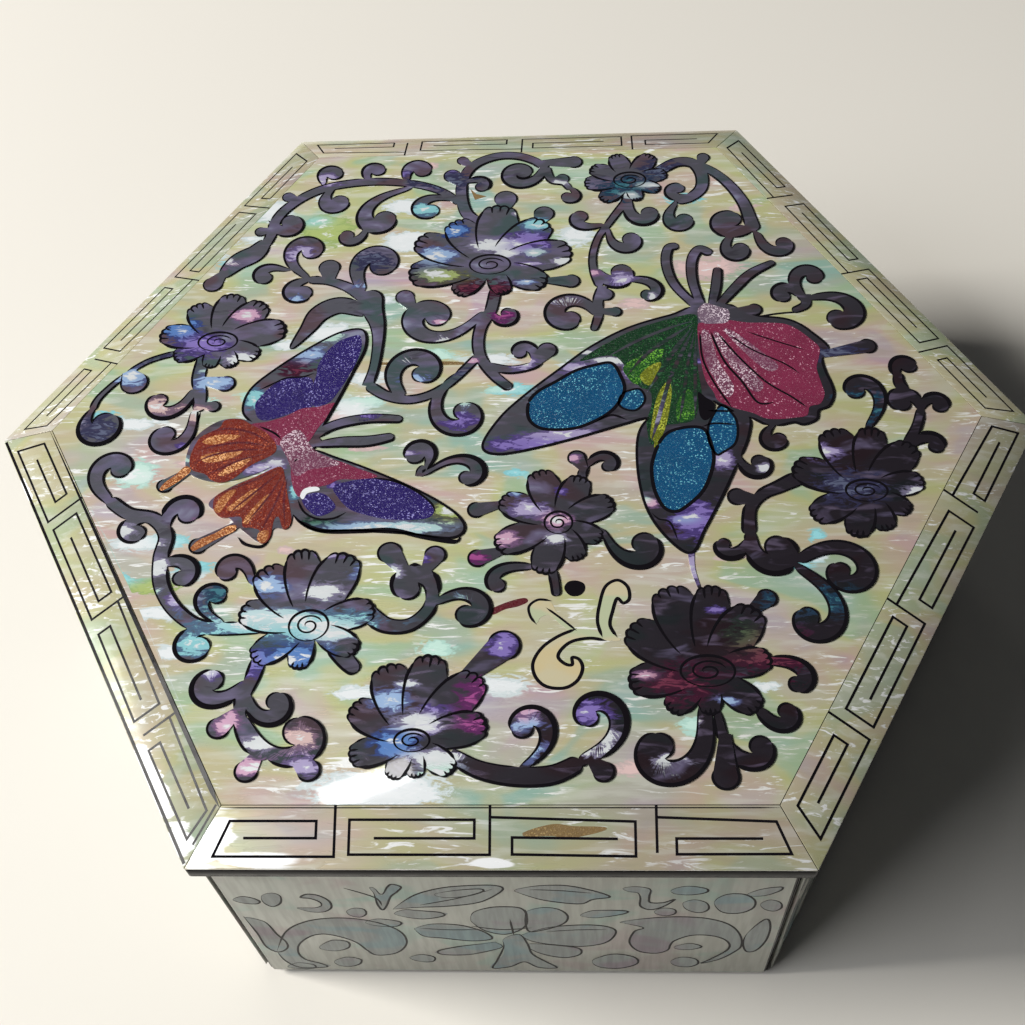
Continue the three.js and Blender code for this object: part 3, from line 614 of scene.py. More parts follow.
# %% Stems, scrolls, lobes, petals and wings
def smooth_line(row, per_point, closed=False):
    """A Catmull-Rom line through a row of x and y by turns, with a number of places for each point of the row."""
    knots = np.reshape(row, (-1, 2)).astype(float)
    count = round(per_point * len(knots))
    spans = len(knots) if closed else len(knots) - 1
    places = np.linspace(0, spans, count, endpoint=not closed)
    span = np.minimum(places.astype(int), spans - 1)
    u = (places - span)[:, None]
    pick = (lambda i: knots[i % len(knots)]) if closed else (lambda i: knots[np.clip(i, 0, len(knots) - 1)])
    a, b, c, d = pick(span - 1), pick(span), pick(span + 1), pick(span + 2)
    return 0.5 * (2 * b + (c - a) * u + (2 * a - 5 * b + 4 * c - d) * u**2 + (3 * b - a - 3 * c + d) * u**3)


def fixed_line(row, count):
    """The same line with a fixed number of places."""
    return smooth_line(row, 2 * count / len(row))


def closed_outline(row):
    return smooth_line(row, 8, closed=True)


def closed_line(row):
    line = closed_outline(row)
    return np.vstack([line, line[:1]])


def direction_of(angle):
    """The direction of an angle in radians, or one direction for each of many angles."""
    return np.stack([np.cos(angle), np.sin(angle)], -1)


def offset_both_ways(line, half_widths):
    along = np.gradient(line, axis=0)
    along /= np.linalg.norm(along, axis=1)[:, None] + 1e-9
    aside = np.stack([-along[:, 1], along[:, 0]], 1) * np.asarray(half_widths).reshape(-1, 1)
    return line + aside, line - aside


def round_end(line, size):
    """How much a band keeps of its width, so that its last bit closes like a half circle."""
    steps = np.linalg.norm(np.diff(line[::-1], axis=0), axis=1)
    left = np.concatenate([[0], np.cumsum(steps)])[::-1]
    return np.sqrt(np.clip(1 - (1 - np.clip(left / size, 0, 1)) ** 2, 0.02, 1))


def stem_edges(start, middle, end, *row):
    line = smooth_line(row, 12)
    t = np.linspace(0, 1, len(line))
    half = (start + (end - start) * t + 4 * t * (1 - t) * (middle - (start + end) / 2)) / 2
    return offset_both_ways(line, half * round_end(line, end / 2))


# How much a scroll winds in, where its head starts to close, its smallest eye, and how much its head swells.
SCROLL_WIND, SCROLL_END, SCROLL_EYE, SCROLL_HEAD = 0.3, 0.88, 0.12, 1.3


def scroll_edges(foot_x, foot_y, eye_x, eye_y, radius, turn, foot_width, head_width):
    head_width = min(head_width * SCROLL_HEAD, 1.9 * radius)
    t = np.linspace(0, 1, int(24 + abs(turn) / 7))
    reach = math.hypot(foot_x - eye_x, foot_y - eye_y)
    start = math.atan2(foot_y - eye_y, foot_x - eye_x)
    middle = max(radius - head_width / 2, radius * SCROLL_WIND)
    swell = np.clip((t - 0.05) / 0.65, 0, 1)
    swell = swell * swell * (3 - 2 * swell)
    closing = np.sqrt(np.maximum(0, 1 - np.maximum(0, (t - SCROLL_END) / (1 - SCROLL_END)) ** 2))
    half = (foot_width + (head_width - foot_width) * swell) / 2 * np.maximum(closing, 0.02)
    at = middle * (1 - SCROLL_WIND * t * t) + (reach - middle) * (1 - t) ** 3
    angle = start + math.radians(turn) * t**1.5
    ring = direction_of(angle)
    eye = np.array([eye_x, eye_y])
    return eye + ring * (at + half)[:, None], eye + ring * np.maximum(at - half, SCROLL_EYE)[:, None]


def scroll_bulb(foot_x, foot_y, eye_x, eye_y, radius, turn, foot_width, head_width):
    """The round bulb in which a scroll ends, beside its eye."""
    angle = math.atan2(foot_y - eye_y, foot_x - eye_x) + math.radians(turn) * 0.9
    middle = np.array([eye_x, eye_y]) + 0.3 * radius * direction_of(angle)
    size = min(0.58 * radius, 0.62 * head_width)
    around = np.linspace(0, 2 * math.pi, 22, endpoint=False)
    return middle + size * direction_of(around)


# A lobe's neck lies this share of its width to each side of its foot.
LOBE_NECK = 0.22


def lobe_outline(foot_x, foot_y, end_x, end_y, width):
    length = math.hypot(end_x - foot_x, end_y - foot_y)
    along = np.array([end_x - foot_x, end_y - foot_y]) / length
    aside = np.array([-along[1], along[0]])
    foot = np.array([foot_x, foot_y])
    round_end = np.radians(np.linspace(-115, 115, 24))
    reach = length - width / 2 + width / 2 * np.cos(round_end)
    head = foot + reach[:, None] * along + (width / 2 * np.sin(round_end))[:, None] * aside
    return np.vstack([foot - LOBE_NECK * width * aside, head, foot + LOBE_NECK * width * aside])


# A petal's least and greatest room in degrees, its fullness, how far it starts behind the hub, and how deep its
# notches are. Then how many points its sides and its end have, and which points of its outline are notches.
PETAL_ROOM, PETAL_WIDE, PETAL_FOOT, PETAL_NOTCH = (28, 38), 0.77, 0.8, 0.032
SIDE_POINTS, END_POINTS, NOTCH_POINTS = 14, 33, (22, 30, 38)


def petal_outline(hub, direction, length, room):
    """From the hub out along the right side, across the notched end and back along the left side."""
    half = PETAL_WIDE * length * math.sin(math.radians(room / 2))
    far = np.linspace(0, 0.86, SIDE_POINTS)
    rise = np.clip(far / 0.66, 0, 1)
    side = half * (0.16 + 0.84 * rise * (2 - rise) - 2.4 * np.clip(far - 0.7, 0, 1) ** 1.5)
    across = np.linspace(-1, 1, END_POINTS)
    notch = PETAL_NOTCH * (1 - np.abs(np.sin(2 * math.pi * across)) ** 0.7)
    end = 0.86 + 0.14 * np.sqrt(1 - 0.97 * across**2) - notch
    u = np.concatenate([[-PETAL_FOOT / length], far, end[1:-1], far[::-1], [-PETAL_FOOT / length]]) * length
    v = np.concatenate([[-0.1 * half], -side, side[-1] * across[1:-1], side[::-1], [0.1 * half]])
    out = direction_of(math.radians(direction))
    aside = np.array([-out[1], out[0]])
    return hub + u[:, None] * out + v[:, None] * aside


def flower_petals(hub, petals):
    hub = np.array(hub[:2])
    count = len(petals)
    outlines = []
    for i, (direction, length) in enumerate(petals):
        before = (direction - petals[i - 1][0]) % 360
        after = (petals[(i + 1) % count][0] - direction) % 360
        room = min(max(before, after, PETAL_ROOM[0]), PETAL_ROOM[1])
        outlines.append(petal_outline(hub, direction, length, room))
    return outlines


def band(left, right):
    """A band between two edges, as a row of triangles. A triangle can't cross itself where the band turns tightly."""
    triangles = []
    for i in range(len(left) - 1):
        triangles.append(np.array([left[i], right[i], right[i + 1]]))
        triangles.append(np.array([left[i], right[i + 1], left[i + 1]]))
    return triangles


def closed_band(left, right):
    return np.vstack([left, right[::-1]])


print("points in a petal:", len(petal_outline(np.zeros(2), 0, 10, 30)))

# %% [markdown]
# Ink goes on last, as lines that swell and taper. A line is only drawn where it really is an edge of the whole
# figure, so each edge is tested against the other shapes and cut where it runs inside one.

# %% Ink lines
def ink_line(line, width, taper=0.8):
    """A band of ink along a line. Its width may change along it, and it thins out over the taper at both ends."""
    steps = np.linalg.norm(np.diff(line, axis=0), axis=1)
    far = np.concatenate([[0], np.cumsum(steps)])
    if far[-1] < 0.3:
        return []
    ends = np.clip(np.minimum(far, far[-1] - far) / min(taper, far[-1] / 2), 0.12, 1)
    return band(*offset_both_ways(line, np.broadcast_to(width, len(line)) * ends / 2))


def visible_ink(edge, width, others):
    hidden = np.zeros(len(edge), bool)
    for outline in others:
        low, high = outline.min(0), outline.max(0)
        near = np.all((edge > low) & (edge < high), axis=1)
        if near.any():
            hidden[near] |= inside(edge[near], outline)
    width = np.broadcast_to(width, len(edge))
    shapes, start = [], None
    for i, covered in enumerate([*hidden, True]):
        if not covered and start is None:
            start = i
        if covered and start is not None:
            if i - start > 2:
                shapes += ink_line(edge[start:i], width[start:i])
            start = None
    return shapes


print("triangles in a short line of ink:", len(ink_line(fixed_line([0, 0, 1, 1, 2, 0], 10), 0.3)))

# %% [markdown]
# ## The flowers, vines and butterflies
# Every figure is listed in millimetres, seen from above with the front side at the bottom. A flower has its hub (x,
# y and the two radii of its ring) and its petals (direction in degrees, length). A stem has its widths at the
# start, middle and end, then the points it runs through, as x and y by turns. A scroll has its foot, its eye, its
# radius, how far it turns, and its widths at foot and head. A lobe has its foot, its tip and its width. A wing is a
# closed line. Hind wings are cut like wings but get no ink round them, because paint runs over their edges.

# %% The figures, in millimetres
FIGURES = {
  "flower_spray_back": {
    "flower": {"hub": [-3.6, 31.7, 3.2, 2.1], "petals": [[12, 13], [47, 12.7], [84, 13.3], [122, 11.6], [154, 13.2],
      [189, 12.8], [231, 8], [291, 6.8], [333, 9.8]]},
    "stems": [[2, 1.7, 1.5, -5.2, 40.5, -7.8, 43.5, -8.8, 48, -8.5, 52, -6.8, 55, -3.5, 56.8, 0, 56.9, 3, 55.6,
      5, 53.6],
      [1.3, 1.7, 1.6, -9.2, 46, -12, 48.6, -16, 50.4, -21, 51.3, -26, 51.3, -31, 50.3, -34.8, 48.2, -37.6, 45.3,
      -39, 42.4, -39.3, 39.5, -40.1, 36.8], [1.6, 1.2, 1, 5, 53.6, 6, 50.8, 8, 50, 9, 48.4],
      [1.8, 1.7, 1.4, -2.6, 26, -3.2, 22, -4.6, 18.5, -4.9, 15, -4.2, 12, -2.2, 8.8, 0.2, 6.4],
      [1.3, 1.4, 1.8, -5, 12.5, -8, 8.6, -11, 5.8, -14.5, 4.6, -18, 5.4, -21, 7.6],
      [1.6, 1.9, 5, -21, 7.4, -20.3, 11, -20.1, 16, -20.5, 19.6, -21.6, 23, -22.4, 26.6],
      [2.2, 1.6, 1.6, -23.4, 25.6, -26, 27.6, -29, 28.9, -32, 29.2],
      [2.4, 3.2, 0.4, -22.6, 22.4, -26.6, 23.6, -29.6, 22, -31.2, 18.8, -33.3, 14.9],
      [1.4, 3.6, 1.2, -40, 38, -41.4, 35.4, -44, 33.4, -46.2, 30.2],
      [1.6, 1.3, 1.4, -3.6, 10.8, 0, 10, 3, 10.6, 4.6, 11.8]],
    "scrolls": [[-31.8, 51, -30.9, 53.3, 2.3, -250, 1.2, 2.2], [-24.3, 51.5, -23.6, 53.9, 2.1, -250, 1.2, 2],
      [-18, 51, -16.3, 53.8, 2.6, -260, 1.4, 2.3], [-30, 50.6, -29.6, 46.8, 2.5, 290, 1.2, 2.9],
      [-16.8, 50.2, -21.9, 42.3, 3, 350, 1.5, 3], [-23.6, 41.4, -26.4, 38.6, 1.9, -280, 1.2, 2],
      [-39.4, 42.5, -36.7, 41.6, 2.6, 300, 1.6, 2.4], [-9.4, 46.6, -14.2, 44.7, 2.5, 320, 1.2, 2.4],
      [-8.6, 50.6, -5.8, 50, 1.8, -250, 1.2, 1.8], [5, 54.4, 0.6, 52.3, 2.9, -400, 1.6, 2],
      [8.8, 49, 9, 46.9, 1.7, -270, 1, 1.9], [-3.4, 22.4, -0.9, 20.8, 1.9, 290, 1, 2.2],
      [-3.8, 21.8, -12.6, 20.6, 4, -400, 1.5, 2.8], [-5.4, 11.8, -6.8, 1.4, 3.2, 385, 1.2, 2.5],
      [3.6, 11.6, 1.9, 13.5, 1.9, 280, 1.4, 1.6], [-15.6, 4.8, -13.9, 10.3, 4.1, -330, 2, 2.4],
      [-23.2, 26, -21.4, 32.7, 3.5, -330, 2.2, 3.4], [-31.8, 29.4, -33.3, 26.9, 2.5, 290, 1.4, 2.8],
      [-32, 29.2, -33.1, 35.8, 3, -330, 1.5, 2.6], [-35.4, 31.4, -39, 30.4, 2.1, 260, 1.3, 2.2]],
    "lobes": [[-8.6, 50.2, -11.4, 53.4, 2.8], [-7.2, 54.6, -9.6, 56.6, 1.8], [6.2, 50.6, 8.8, 51.2, 2.2],
      [4.4, 55, 11, 55, 2.6], [-1.6, 44, -1.4, 48.3, 3.6], [3.8, 40.6, 5.4, 44.3, 3.2], [5.2, 28, 10.4, 27.7, 2.6],
      [-15.2, 22.6, -17.3, 26.3, 2.8], [3.4, 10.8, 6.3, 14.8, 2.8], [-28.8, 28.8, -29.2, 33.4, 3.3],
      [-36, 47.6, -38.4, 48.6, 2], [-39.6, 40.6, -42, 40, 1.9], [-46, 31, -48, 27.4, 3]],
  },
  "flower_spray_back_right": {
    "flower": {"hub": [18.8, 50.3, 2.6, 1.8], "petals": [[13, 6.2], [58, 7], [111, 6.6], [154, 7], [185, 7.4],
      [226, 6.6], [283, 5], [331, 5.4]]},
    "stems": [[1.6, 1.1, 1.4, 18.6, 48, 18.1, 45.5, 16.4, 42.5, 15.1, 40.2, 13.4, 37, 12.5, 33, 12.7, 29.5,
      13.6, 26.5], [1.4, 1.5, 0.9, 14, 26.6, 13.2, 23.6, 13.2, 20.4, 12.4, 17.4],
      [2, 2, 1.6, 23.4, 52, 26.4, 54.2, 29.2, 54, 30.5, 51.4, 30.3, 48, 28.4, 45.8, 26.2, 45],
      [1.6, 1.8, 2.4, 29.6, 54, 32.6, 51.6, 35, 48.4, 36.8, 44.4, 37.6, 40.6, 38, 37.8]],
    "scrolls": [[18.4, 46.5, 21, 42.2, 2.4, 280, 2, 2.2], [14.8, 40, 11, 41.5, 2.2, -230, 1.4, 2],
      [14.8, 39.6, 18, 36.2, 2.5, 290, 1, 2.2], [12.8, 30.5, 16.2, 29, 2.8, 260, 1.6, 2.8],
      [17.6, 28, 20.9, 25.2, 2.2, -270, 1.6, 1.6], [13.2, 20.6, 8.7, 21, 3.9, 320, 1.6, 2.4],
      [28.6, 46.2, 26.4, 47.4, 2.1, -290, 1.4, 1.6], [26.2, 45, 26.5, 40.6, 2.3, 300, 1.4, 2.6],
      [37.6, 38.8, 34.2, 39.8, 3, -310, 2.6, 2.6], [34.6, 37.4, 35, 33.6, 2.2, 320, 1.4, 2.2],
      [38.2, 38, 41.8, 34.6, 2.3, 280, 1.8, 2]],
    "lobes": [[13.2, 25.4, 15.4, 24.2, 2.4], [12.8, 21.4, 16.7, 21.1, 1.8], [30.2, 53.2, 31.4, 56.2, 2]],
  },
  "flower_spray_left": {
    "flower": {"hub": [-44.7, 16.6, 3, 1.9], "petals": [[14, 10.4], [52, 9.9], [83, 9.9], [121, 9], [168, 9.3],
      [206, 7], [262, 5.2], [300, 5.8], [335, 7.2]]},
    "stems": [[1.8, 1.9, 1.6, -46.4, 13.6, -46.6, 9.5, -45.8, 6, -45.7, 3],
      [1, 0.8, 1.1, -50.4, 14.6, -55, 12.8, -58.6, 9.4, -61, 6, -61.6, 3.6]],
    "scrolls": [[-46.6, 7.6, -51.1, 4.8, 2.9, -270, 1.6, 1.9], [-46.2, 3.6, -49.6, -1.9, 2.5, -340, 1.6, 2.5],
      [-61.4, 4.6, -59.9, 0.5, 3.1, 330, 1, 3.6]],
    "lobes": [[-46.2, 9, -41, 8, 2.8], [-45.6, 4.2, -42.6, 3.8, 1.9], [-57.6, 11, -55.2, 7, 4]],
  },
  "flower_spray_right": {
    "flower": {"hub": [49.2, -12.7, 2.8, 1.8], "petals": [[12, 8], [47, 10.6], [79, 11], [110, 11.2], [155, 10.4],
      [209, 8.8], [253, 7.8], [288, 6.8], [327, 6.4]]},
    "stems": [[1.4, 1.3, 1.2, 55, -6, 57.4, -2, 58.6, 1.4],
      [2.6, 1.6, 2, 41.4, -9.8, 37.6, -11.8, 35, -13.2, 33.2, -15.6, 32.8, -19.8],
      [1.8, 1.5, 1.4, 56.8, 4.4, 56.2, 6.4, 56.3, 8.2]],
    "scrolls": [[50.4, -2.6, 50.4, 5.2, 2.3, 330, 1.6, 2.4], [58.6, 1, 56.4, 3, 2.2, 310, 1.4, 2.6],
      [56.2, 7, 57.4, 9.2, 2, -250, 1.4, 2.2], [58.2, 0.6, 60.9, 2.2, 1.9, -270, 1.2, 2],
      [55.6, -5.6, 59.2, -5, 1.9, -240, 1.8, 1.8], [33, -20, 29.8, -21.4, 2, -250, 1.6, 1.4],
      [33, -18.6, 36, -22.6, 3.2, 330, 2, 2.8], [38.4, -24, 45.2, -25.6, 3.5, -390, 2, 2],
      [38.2, -24.2, 40, -33, 3, -350, 1.8, 2.3]],
    "lobes": [[34.6, -14, 30.4, -13.2, 2.6]],
  },
  "flower_spray_middle": {
    "flower": {"hub": [7.2, -17.4, 1.9, 1.8], "petals": [[25, 8.2], [67, 8.3], [108, 9.2], [153, 8.9], [204, 9.2],
      [255, 8.4], [295, 6.6], [335, 6.4]]},
    "stems": [[1.5, 1.2, 1.3, 10, -12, 10.6, -8.8, 11.2, -7], [1.4, 1.2, 1, 5.6, -23, 6.6, -26, 7, -29]],
    "scrolls": [[11, -8, 13.8, -7.5, 1.9, -270, 1.2, 1.4], [12.8, -18.2, 18.2, -21.6, 2.9, 290, 1.2, 2.8],
      [4.4, -24.4, -0.6, -26.8, 1.8, 240, 1.8, 1.8]],
    "lobes": [[-0.6, -14.2, -5.2, -15.4, 2.4], [10.9, -8.6, 9.2, -5.4, 2.4], [-0.2, -21.8, -4.8, -23.4, 2.6]],
  },
  "flower_spray_front_left": {
    "flower": {"hub": [-25.4, -33.2, 2.6, 2.3], "petals": [[17, 8.8], [69, 11.8], [101, 12], [129, 11.4], [166, 9.6],
      [216, 8.4], [262, 6.4], [330, 7.6]]},
    "stems": [[1.8, 2, 1.8, -32, -33.4, -39, -33.4, -43.2, -31, -46, -27, -46.9, -22.5, -46.8, -18.8, -49, -16,
      -52.8, -15, -56, -12.6],
      [2, 1.6, 1.4, -31, -36.6, -31.8, -40.5, -32.8, -44, -32.6, -47, -31.2, -50, -28.5, -51.8],
      [2, 2.2, 1.4, -22.4, -35.6, -20, -38.4, -18.4, -40],
      [2.6, 1.8, 1.6, -17.8, -31.4, -15.2, -33.2, -12.2, -33.2, -9.9, -31, -9.3, -28]],
    "scrolls": [[-55.6, -13.2, -56.2, -7.3, 3, -310, 2, 2.2], [-46.8, -19, -44.9, -15, 2.4, -300, 1.4, 2.9],
      [-49.6, -16, -51.4, -17.8, 2.2, 290, 1.4, 2.2], [-46.6, -23.4, -44, -25, 2.8, -230, 1.6, 1.8],
      [-36.6, -33, -38.7, -28.8, 2, -300, 1.2, 2.4], [-37.6, -33.6, -40.2, -36, 2.5, 330, 1.6, 2.4],
      [-33.6, -27, -36.9, -24.4, 2.2, 290, 1.4, 2.2], [-32, -41, -37, -41.9, 2.6, -310, 1.8, 2.3],
      [-32.5, -42.8, -28.7, -44.8, 2.5, 300, 1.4, 2], [-32.6, -46, -24.9, -49.2, 3.2, 340, 1.4, 3.2],
      [-10, -31.6, -12.2, -27, 3, 330, 1.6, 2.6], [-9.4, -30, -4.4, -31, 2.8, -320, 1.4, 2.2]],
    "lobes": [[-33, -45.4, -36.2, -48.8, 2.8], [-29.6, -51, -31.6, -54.8, 2.8], [-25.4, -51.6, -22.2, -54.4, 2.8],
      [-13.2, -25.2, -16.5, -20.7, 3.2], [-10.6, -25, -8.8, -21.2, 2.8]],
  },
  "flower_spray_front": {
    "flower": {"hub": [-10.8, -49.6, 2.2, 1.5], "petals": [[14, 9.4], [48, 12], [81, 12], [111, 11.2], [149, 9.2],
      [196, 7.9], [245, 5.4], [280, 4.9], [322, 6.6]]},
    "stems": [[1.6, 2.4, 2, -6, -51.4, -2.4, -53.4, 2, -54.3, 6.5, -54.1, 10, -52.4]],
    "scrolls": [[9.4, -52.8, 11.9, -46.3, 3.2, 340, 2, 1.9], [2.2, -54, 3.6, -47.8, 2.8, 320, 1.2, 2.2]],
    "lobes": [[11.2, -52.2, 13.6, -54.6, 2.6], [-4.8, -41.2, 1.7, -34.9, 4.2]],
  },
  "flower_spray_front_right": {
    "flower": {"hub": [26, -40.2, 3.4, 2.2], "petals": [[13, 8.2], [54, 11.2], [84, 12.6], [111, 13.2], [147, 11.6],
      [189, 10], [228, 7.4], [270, 6], [318, 8]]},
    "scrolls": [[25.4, -44, 20, -51.4, 3.7, -330, 2.4, 2.8], [26.6, -45, 31.2, -50.9, 2.3, 300, 1.6, 2.2],
      [33, -38.8, 36.9, -41.4, 2.3, -250, 1.8, 1.8], [31.6, -45, 35, -46.3, 2, 280, 1.8, 1.8]],
    "lobes": [[27.6, -48.8, 27.2, -56, 3.2], [31.6, -32, 35.2, -28.8, 2.6]],
  },
  "vine_right": {
    "stems": [[1.8, 1.4, 1, 44.6, 24, 44.4, 21.8, 42.4, 20.6]],
    "scrolls": [[44.4, 22.6, 45.6, 27.6, 2.5, -300, 1.8, 1.9], [44, 23.4, 41.5, 24.2, 2.1, 290, 1.6, 1.8],
      [44.4, 23.2, 49.4, 20, 3.7, -290, 1.4, 2.6]],
  },
  "vine_middle": {
    "stems": [[1, 0.9, 1, -12.4, -9.2, -12.2, -8.2, -11.6, -7.6]],
    "scrolls": [[-11.5, -8, -12.5, -5.4, 2.3, 300, 1, 2.6], [-12.2, -9.2, -5.5, -8.9, 2.4, -310, 1, 1.8]],
  },
  "butterfly_left": {
    "wings": [[-30.5, -4.4, -27.6, -1.4, -25.4, 4, -23.4, 10, -21.9, 15, -22.6, 18.4, -26, 18, -30.4, 15, -35, 11,
      -38.4, 7, -39, 3, -37, 0.6, -33.6, -1.4],
      [-29, -4.6, -24, -6, -17, -9.2, -10.6, -12.8, -6.6, -16, -5.6, -18.4, -7.6, -19.7, -14, -18.8, -21, -18.3,
      -26, -18.2, -29.4, -15.6, -30.8, -11]],
    "hind_wings": [[-31, -4, -34.8, -1.2, -38, 1.2, -41.6, 1.4, -44.6, -0.8, -46, -4, -45.4, -8, -41, -9.8, -36, -8.6,
      -32, -6],
      [-31, -5.6, -34.6, -8.4, -39, -10.8, -41.6, -13.6, -38.8, -15.6, -35.8, -18.4, -33.4, -20, -31.8, -17.8,
      -29.8, -17.4, -29.4, -11]],
    "stems": [[2.4, 2.6, 1.2, -33, -7.6, -30.4, -4.6, -27, -2.4],
      [1, 1.6, 1.1, -28.6, -2.6, -25.4, 0, -20.6, 1.2, -15.4, 1],
      [0.8, 1.8, 1.1, -27.4, -3.4, -24, -3, -20, -2.9, -16.4, -2.1]],
    "lobes": [[-44.6, -7.2, -49.2, -11, 2.2], [-36.6, -16.8, -43, -21.2, 2.4]],
  },
  "butterfly_right": {
    "wings": [[29, 21.4, 24, 20.2, 17.6, 17.8, 12, 14.2, 7.4, 10, 2.4, 5.2, -1.2, 1, -3.6, -4, -1.4, -5.6, 4, -4.6,
      10, -2.8, 16.4, -0.6, 20.4, 0.6, 28, 1, 30.4, 10],
      [28.6, 1.6, 22, 1.4, 18.8, -1.6, 18.2, -8, 19.2, -15, 21.8, -20, 24.9, -22.5, 27, -18.6, 29.6, -13.4, 32, -8,
      34, -3, 34, 0.8],
      [27.6, 21.6, 27.6, 10, 28.2, 5.6, 29.8, 3.2, 32.3, 1.5, 34.8, 0.2, 36.5, -0.9, 38.3, -1.2, 40.6, -0.7, 42, -1.1,
      43.8, -0.2, 44.3, 1.4, 45.8, 2.2, 46.7, 4.2, 46.6, 6.2, 46, 8.6, 45.8, 11, 46.9, 12.7, 46.5, 14.1, 44.9, 16.1,
      43.2, 17.9, 40.9, 19.1, 36, 20, 33.4, 22, 30, 22.4]],
    "stems": [[1.2, 1.5, 1.3, 28.4, 21.4, 25, 26.5, 23.9, 31, 24.4, 34.4, 26, 34.8],
      [1.2, 1.6, 1.4, 29, 21.4, 27.8, 27, 27.9, 31.6, 29.2, 34, 31, 33],
      [0.8, 1.5, 1.1, 30.2, 21.4, 31.2, 25.6, 31.8, 30], [1, 1.6, 0.9, 31, 21.4, 34, 25.4, 36.8, 28.6, 40.6, 31]],
    "scrolls": [[38, -0.6, 37.6, -3.6, 1.8, 300, 0.9, 2.2], [32, -5.6, 34.7, -8, 2, 290, 0.9, 2.4]],
    "lobes": [[45.4, 11.8, 53.8, 13.6, 2.6], [32, 20.4, 37.8, 21.2, 2.2]],
  },
}
print("figures:", len(FIGURES))

# %% [markdown]
# The shell flashes where its layers happen to face the light. The flashes are painted highlights in its colour,
# with some darker tints of the shell among them. Each flash is listed: where it is, how far it reaches along and
# across, and its colour. The tops of the sheets carry them as a colour attribute, and the finish breaks every flash
# up along the grain of the shell.

